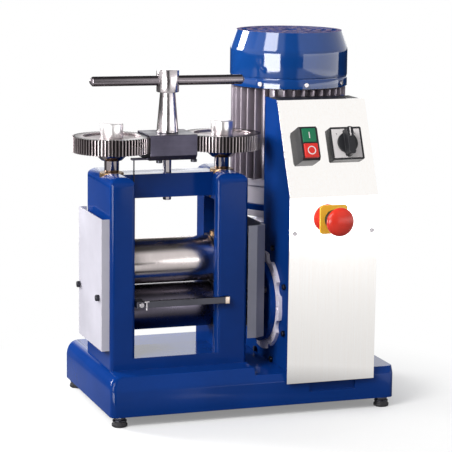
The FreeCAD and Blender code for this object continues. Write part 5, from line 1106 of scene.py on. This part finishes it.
@dataclass
class Reducer:
    """Worm reducer with its lobed flange, output hub and bolts."""

    cast_edge: float = 0.0015

    def build(self) -> None:
        """Carry the reducer over and dress what it holds."""
        carry({
            "gearbox_housing": (BLUE, self.cast_edge),
            "output_hub": (BLUE, 0.0008),
            "gearbox_flange": (SHIELD_ALUMINIUM, 0.0007),
            "flange_bolts": (DARK_STEEL, 0.0005),
        })
        dress(BRONZE, "worm_wheel")
        dress(TURNED_STEEL, "worm_shaft")


@dataclass
class Motor:
    """Upright finned motor with its fan cowl."""

    fins: int = 36
    core: float = 0.070
    core_edge: float = 0.001
    fin_root: float = 0.071
    fin_tip: float = 0.0845
    fin_top_gap: float = 0.002
    fin_base_width: float = 0.0042
    fin_tip_width: float = 0.0022
    fin_edge: float = 0.0005
    boxed_tip: float = 0.0755
    box_half_width: float = 0.033
    cowl: float = 0.0865
    cowl_top: float = 0.0775
    cowl_edges: tuple[float, float] = (0.003, 0.002)
    shoulder: float = 0.0535
    cowl_groove: float = 0.0008
    grooves: tuple[float, ...] = (0.0120, 0.0126, 0.0145, 0.0151)
    sheet: float = 0.0015
    cap: float = 0.0115
    grille_rings: int = 4
    grille_spokes: int = 12
    grille_first: float = 0.018
    grille_pitch: float = 0.015
    slot_width: float = 0.007
    slot_gap: float = 0.0025
    slot_steps: int = 4

    def _axis(self) -> Vector:
        """Centre of the motor in plan."""
        centre = middle("motor_flange")
        return Vector((centre.x, centre.y, 0))

    def _housing(self) -> None:
        """Barrel with tapered fins, made as one toothed ring. Fins behind the terminal box are shorter."""
        axis = self._axis()
        low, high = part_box("motor_housing")
        start = axis + Z * low.z
        height = high.z - low.z
        outline = []
        half_root, half_tip = self.fin_base_width / 2 / self.fin_root, self.fin_tip_width / 2 / self.fin_tip
        for fin in range(self.fins):
            turn = 2 * math.pi / self.fins * (fin + 0.5)
            boxed = abs(math.sin(turn)) * self.fin_tip < self.box_half_width and math.cos(turn) > 0
            tip = self.boxed_tip if boxed else self.fin_tip
            for radius, angle in ((self.fin_root, -half_root), (tip, -half_tip), (tip, half_tip),
                                  (self.fin_root, half_root)):
                outline.append(start + round_axis(radius, turn + angle))
        fin_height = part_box("fan_cowl")[0].z - self.fin_top_gap - low.z
        barrel = Shape().prism(outline, Z * fin_height, self.fin_edge, 1)
        core = softened([(0, 0), (0, self.core), (height, self.core), (height, 0)], self.core_edge)
        barrel.merge(Shape().lathe(core, start, Z, 96))
        # Painted shade: the fins darken towards their roots, in the hollows between them.
        barrel.skin("motor_housing", FIN_ALUMINIUM, sharp=40, exposed=lambda spot: (
            flat_distance(spot, axis) - self.fin_root) / (self.fin_tip - self.fin_root))

    def _cowl(self) -> None:
        """Pressed fan cowl with two grooves, a shoulder and a slotted grille."""
        low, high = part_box("fan_cowl")
        start = self._axis() + Z * low.z
        height = high.z - low.z
        under, r, s = height - self.sheet, self.cowl, self.sheet
        groove_depths = (r, r - self.cowl_groove, r - self.cowl_groove, r)
        outer = [(0, r), *zip(self.grooves, groove_depths), (self.shoulder, r), (height, self.cowl_top)]
        inner = [(under, self.cowl_top - s), (self.shoulder - 6 * FINE, r - s), (0, r - s)]
        outer_edge, inner_edge = self.cowl_edges
        profile = softened(outer, outer_edge) + [(height, self.cap), (under, self.cap)] + softened(inner, inner_edge)
        cowl = Shape().lathe(profile, start, Z, 128, tube=True)
        cap = [(under, 0), (under, self.cap + FINE), (height, self.cap + FINE), (height, 0)]
        cowl.merge(Shape().lathe(cap, start))
        slots = Shape()
        for ring in range(self.grille_rings):
            for spoke in range(self.grille_spokes):
                slots.merge(self._slot(high.z, self.grille_first + ring * self.grille_pitch, spoke))
        cowl.cut(slots)
        rim = high.z - 6 * FINE
        # Painted sheen: the cowl's top is cut off as its own piece and given the lighter lilac copy of the blue.
        Shape().merge(cowl).only(lambda spot: spot.z > rim).finish("fan_cowl_grille_painted_sheen", SHEEN_GRILLE_BLUE, sharp=38)
        cowl.only(lambda spot: spot.z <= rim).skin("fan_cowl", COWL_BLUE, sharp=38)

    def _slot(self, top: float, inside: float, spoke: int) -> Shape:
        """One curved slot of the grille."""
        step = 2 * math.pi / self.grille_spokes
        start = self._axis() + Z * (top - 0.4 * PAST)
        parts = range(self.slot_steps + 1)
        outline = []
        for radius, order in ((inside + self.slot_width, parts), (inside, reversed(parts))):
            gap = self.slot_gap / radius
            for part in order:
                turn = spoke * step + gap + (step - 2 * gap) * part / self.slot_steps
                outline.append(start + round_axis(radius, turn))
        return Shape().prism(outline, Z * 0.8 * PAST)

    def build(self) -> None:
        """Make the motor from its flange to its cowl."""
        self._housing()
        self._cowl()
        carry({
            "adapter_ring": (SHIELD_ALUMINIUM, 0.0008),
            "motor_flange": (BLUE, 0.001),
            "drive_end_shield": (SHIELD_ALUMINIUM, 0.0015),
            "terminal_box": (BLACK_PLASTIC, 0.0012),
            "cowl_screws": (ZINC, 0.0005),
        })
        dress(BLACK_PLASTIC, "cooling_fan")
        dress(TURNED_STEEL, "motor_rotor")
        dress(HIDDEN_GEAR_STEEL, "lower_roll_gear", "upper_roll_gear")


# Studio


@dataclass
class Studio:
    """Pale floor, soft lamps, white surroundings and the camera."""

    floor_half: float = 14.0
    lens: float = 158.277
    distance: float = 2.883801
    azimuth: float = -19.152463
    elevation: float = 9.784844
    roll: float = 0.677747
    target: tuple[float, float, float] = (0.008259, 0.009101, 0.254183)
    aim: tuple[float, float, float] = (0.0, 0.0, 0.25)
    white_reach: float = 2.5
    near_white: float = 0.22
    shadow_reach: tuple[float, float] = (0.24, 0.46)
    shadow_lift: float = 1.1
    aisle_starts: tuple[float, float] = (1.0, 1.4)
    near_glow: tuple[float, float, float] = (0.5, 1.7, 0.78)
    rear_glow: tuple[float, float, float] = (0.05, 0.35, 0.15)
    far_glow: float = 0.10
    aisle: tuple[float, float] = (-15.0, 12.0)
    rear_corner: tuple[float, float] = (-148.0, 24.0)
    soft_side: float = 7.0
    dark: float = 0.07
    front_rise: float = 0.38
    overhead: tuple[float, float, float] = (0.66, 0.88, 0.06)
    ambient: float = 0.60

    def _camera(self) -> None:
        """The photograph's camera."""
        az, el, roll = (math.radians(v) for v in (self.azimuth, self.elevation, self.roll))
        right = Vector((math.cos(az), math.sin(az), 0))
        back = Vector((math.sin(az) * math.cos(el), -math.cos(az) * math.cos(el), math.sin(el)))
        up = back.cross(right)
        tilted_right = right * math.cos(roll) + up * math.sin(roll)
        tilted_up = up * math.cos(roll) - right * math.sin(roll)
        data = bpy.data.cameras.new("camera")
        data.lens, data.sensor_width, data.clip_end = self.lens, 36.0, 60.0
        camera = bpy.data.objects.new("camera", data)
        turn = Matrix((tilted_right, tilted_up, back)).transposed().to_4x4()
        camera.matrix_world = Matrix.Translation(Vector(self.target) + back * self.distance) @ turn
        bpy.context.scene.collection.objects.link(camera)
        bpy.context.scene.camera = camera

    def _floor(self) -> None:
        """A wide floor: white to the camera but for the soft shadow, dark to metal where it lies far off."""
        mesh = bmesh.new()
        bmesh.ops.create_grid(mesh, x_segments=1, y_segments=1, size=self.floor_half)
        data = bpy.data.meshes.new("floor")
        mesh.to_mesh(data)
        mesh.free()
        floor = bpy.data.objects.new("floor", data)
        bpy.context.scene.collection.objects.link(floor)
        material = bpy.data.materials.new("pale_floor")
        material.use_nodes = True
        graph = Graph(material.node_tree)
        place = graph.add("TexCoord").outputs["Object"]
        away = graph.vector("LENGTH", i0=place).outputs["Value"]
        spot = graph.add("SeparateXYZ", Vector=place).outputs
        ray = graph.add("LightPath").outputs
        camera = ray["Is Camera Ray"]
        plain = graph.add("BsdfDiffuse", Color=graph.mix(camera, rgba((0.15, 0.15, 0.16)), rgba((0.9, 0.9, 0.9))))
        mirrored = graph.math("MAXIMUM", ray["Is Glossy Ray"], ray["Is Transmission Ray"])
        aisle = graph.math("MAXIMUM", self._dark_side(graph, spot, self.aisle),
                           graph.spread(away, *self.aisle_starts, 1.0, 0.0))
        glow = graph.spread(away, self.white_reach, self.white_reach + 0.3, 1.0, self.far_glow)
        for share in (aisle, graph.spread(away, *self.near_glow, 1.0),
                      graph.spread(spot[1], *self.rear_glow[:2], 1.0, self.rear_glow[2])):
            glow = graph.math("MULTIPLY", glow, share)
        lift = graph.math("MULTIPLY", camera, graph.spread(away, *self.shadow_reach, self.shadow_lift, 1.0))
        strength = graph.math("MAXIMUM", graph.math("MULTIPLY", mirrored, glow), lift)
        white = graph.add("Emission", Color=WHITE, Strength=strength)
        seen = graph.math("MAXIMUM", camera, mirrored)
        share = graph.spread(away, *self.shadow_reach, self.near_white, 1.0)
        mix = graph.add("MixShader", i0=graph.math("MULTIPLY", seen, share), i1=plain.outputs[0],
                        i2=white.outputs[0])
        graph.add("OutputMaterial", i0=mix.outputs[0])
        data.materials.append(material)

    def _dark_side(self, graph: Graph, heading: bpy.types.NodeOutputs, sector: tuple[float, float]) -> Socket:
        """Dark part of the room that only metal and gloss show.

        Args:
            graph: the graph to add to.
            heading: how far right and how far back, as the first two of its values.
            sector: degrees round from the front to its middle, positive to the right, and half its width.

        Returns:
            A factor near 0 within it and 1 outside it.
        """
        middle_turn, half = sector
        turn = graph.math("ARCTAN2", heading[0], graph.math("MULTIPLY", heading[1], -1.0))
        off = graph.math("ABSOLUTE", graph.math("SUBTRACT", turn, math.radians(middle_turn)))
        return graph.spread(off, math.radians(half), math.radians(half + self.soft_side), self.dark, 1.0)

    def _world(self) -> None:
        """White to the camera; to metal, white low down and dark overhead; dim for everything else."""
        world = bpy.context.scene.world = bpy.data.worlds.new("studio")
        world.use_nodes = True
        graph = Graph(world.node_tree)
        heading = graph.add("SeparateXYZ", Vector=graph.add("TexCoord").outputs["Generated"]).outputs
        height = graph.math("ADD", heading[2], graph.spread(heading[1], -0.15, 0.15, 0.0, self.front_rise))
        white_up_to, dark_from, level = self.overhead
        overhead = graph.spread(height, white_up_to, dark_from, 1.0, level)
        for sector in (self.aisle, self.rear_corner):
            overhead = graph.math("MULTIPLY", overhead, self._dark_side(graph, heading, sector))
        ray = graph.add("LightPath").outputs
        shiny = graph.math("MAXIMUM", ray["Is Glossy Ray"], ray["Is Transmission Ray"])
        dim = graph.math("MULTIPLY", graph.math("SUBTRACT", 1.0, shiny), self.ambient)
        strength = graph.math("ADD", graph.math("MULTIPLY", overhead, shiny), dim)
        light = graph.add("Background", Color=WHITE,
                          Strength=graph.math("MAXIMUM", strength, ray["Is Camera Ray"]))
        graph.add("OutputWorld", i0=light.outputs[0])

    def _lamp(self, name: str, place: Vector, aim: Sequence[float], size: tuple[float, float],
              power: float) -> bpy.types.Object:
        """One soft rectangular lamp, out of the camera's sight."""
        data = bpy.data.lights.new(name, "AREA")
        data.shape, data.size, data.size_y, data.energy = "RECTANGLE", *size, power
        lamp = bpy.data.objects.new(name, data)
        turn = (Vector(aim) - place).to_track_quat("-Z", "Y").to_matrix().to_4x4()
        lamp.matrix_world = Matrix.Translation(place) @ turn
        lamp.visible_camera = False
        bpy.context.scene.collection.objects.link(lamp)
        return lamp

    def _reflected(self, name: str, azimuth: float, distance: float, size: tuple[float, float], middle_z: float,
                   radiance: float) -> None:
        """A bright card that only shows in glossy surfaces.

        Args:
            name: the lamp's name.
            azimuth: degrees round from the front, positive to the right.
            distance: how far it stands from the machine's middle.
            size: width and height.
            middle_z: height of its middle.
            radiance: how bright it looks.
        """
        turn = math.radians(azimuth)
        place = Vector((distance * math.sin(turn), -distance * math.cos(turn), middle_z))
        power = radiance * math.pi * size[0] * size[1]
        self._lamp(name, place, (0, 0, middle_z), size, power).visible_diffuse = False

    def build(self) -> None:
        """Set the studio up."""
        self._camera()
        self._floor()
        self._world()
        self._lamp("key_lamp", Vector((-2.1, -1.25, 1.9)), self.aim, (1.3, 1.3), 66.0)
        self._lamp("rear_left_lamp", Vector((-1.6, 1.6, 1.0)), self.aim, (0.8, 0.8), 55.0)
        self._reflected("left_window", -52.0, 1.9, (1.15, 0.5), 0.27, 19.0)
        self._reflected("right_window", 52.0, 1.9, (3.4, 0.5), 0.27, 2.6)
        self._reflected("back_window", 162.0, 3.0, (2.2, 0.9), 0.85, 1.0)
        bpy.context.scene.view_settings.view_transform = "Standard"


def main() -> None:
    """Build every sub-assembly in order."""
    logging.basicConfig(level=logging.INFO, format="%(name)s %(message)s")
    for assembly in (Studio(), BaseCasting(), Feet(), RollerStand(), Roll("lower_roll", SHADED_LOWER_ROLL_STEEL),
                     Roll("upper_roll", ROLL_STEEL), Screwdown(), Cabinet(), Controls(Slope()), Reducer(), Motor()):
        LOG.info("building %s", type(assembly).__name__)
        assembly.build()


if __name__ == "__main__":
    main()
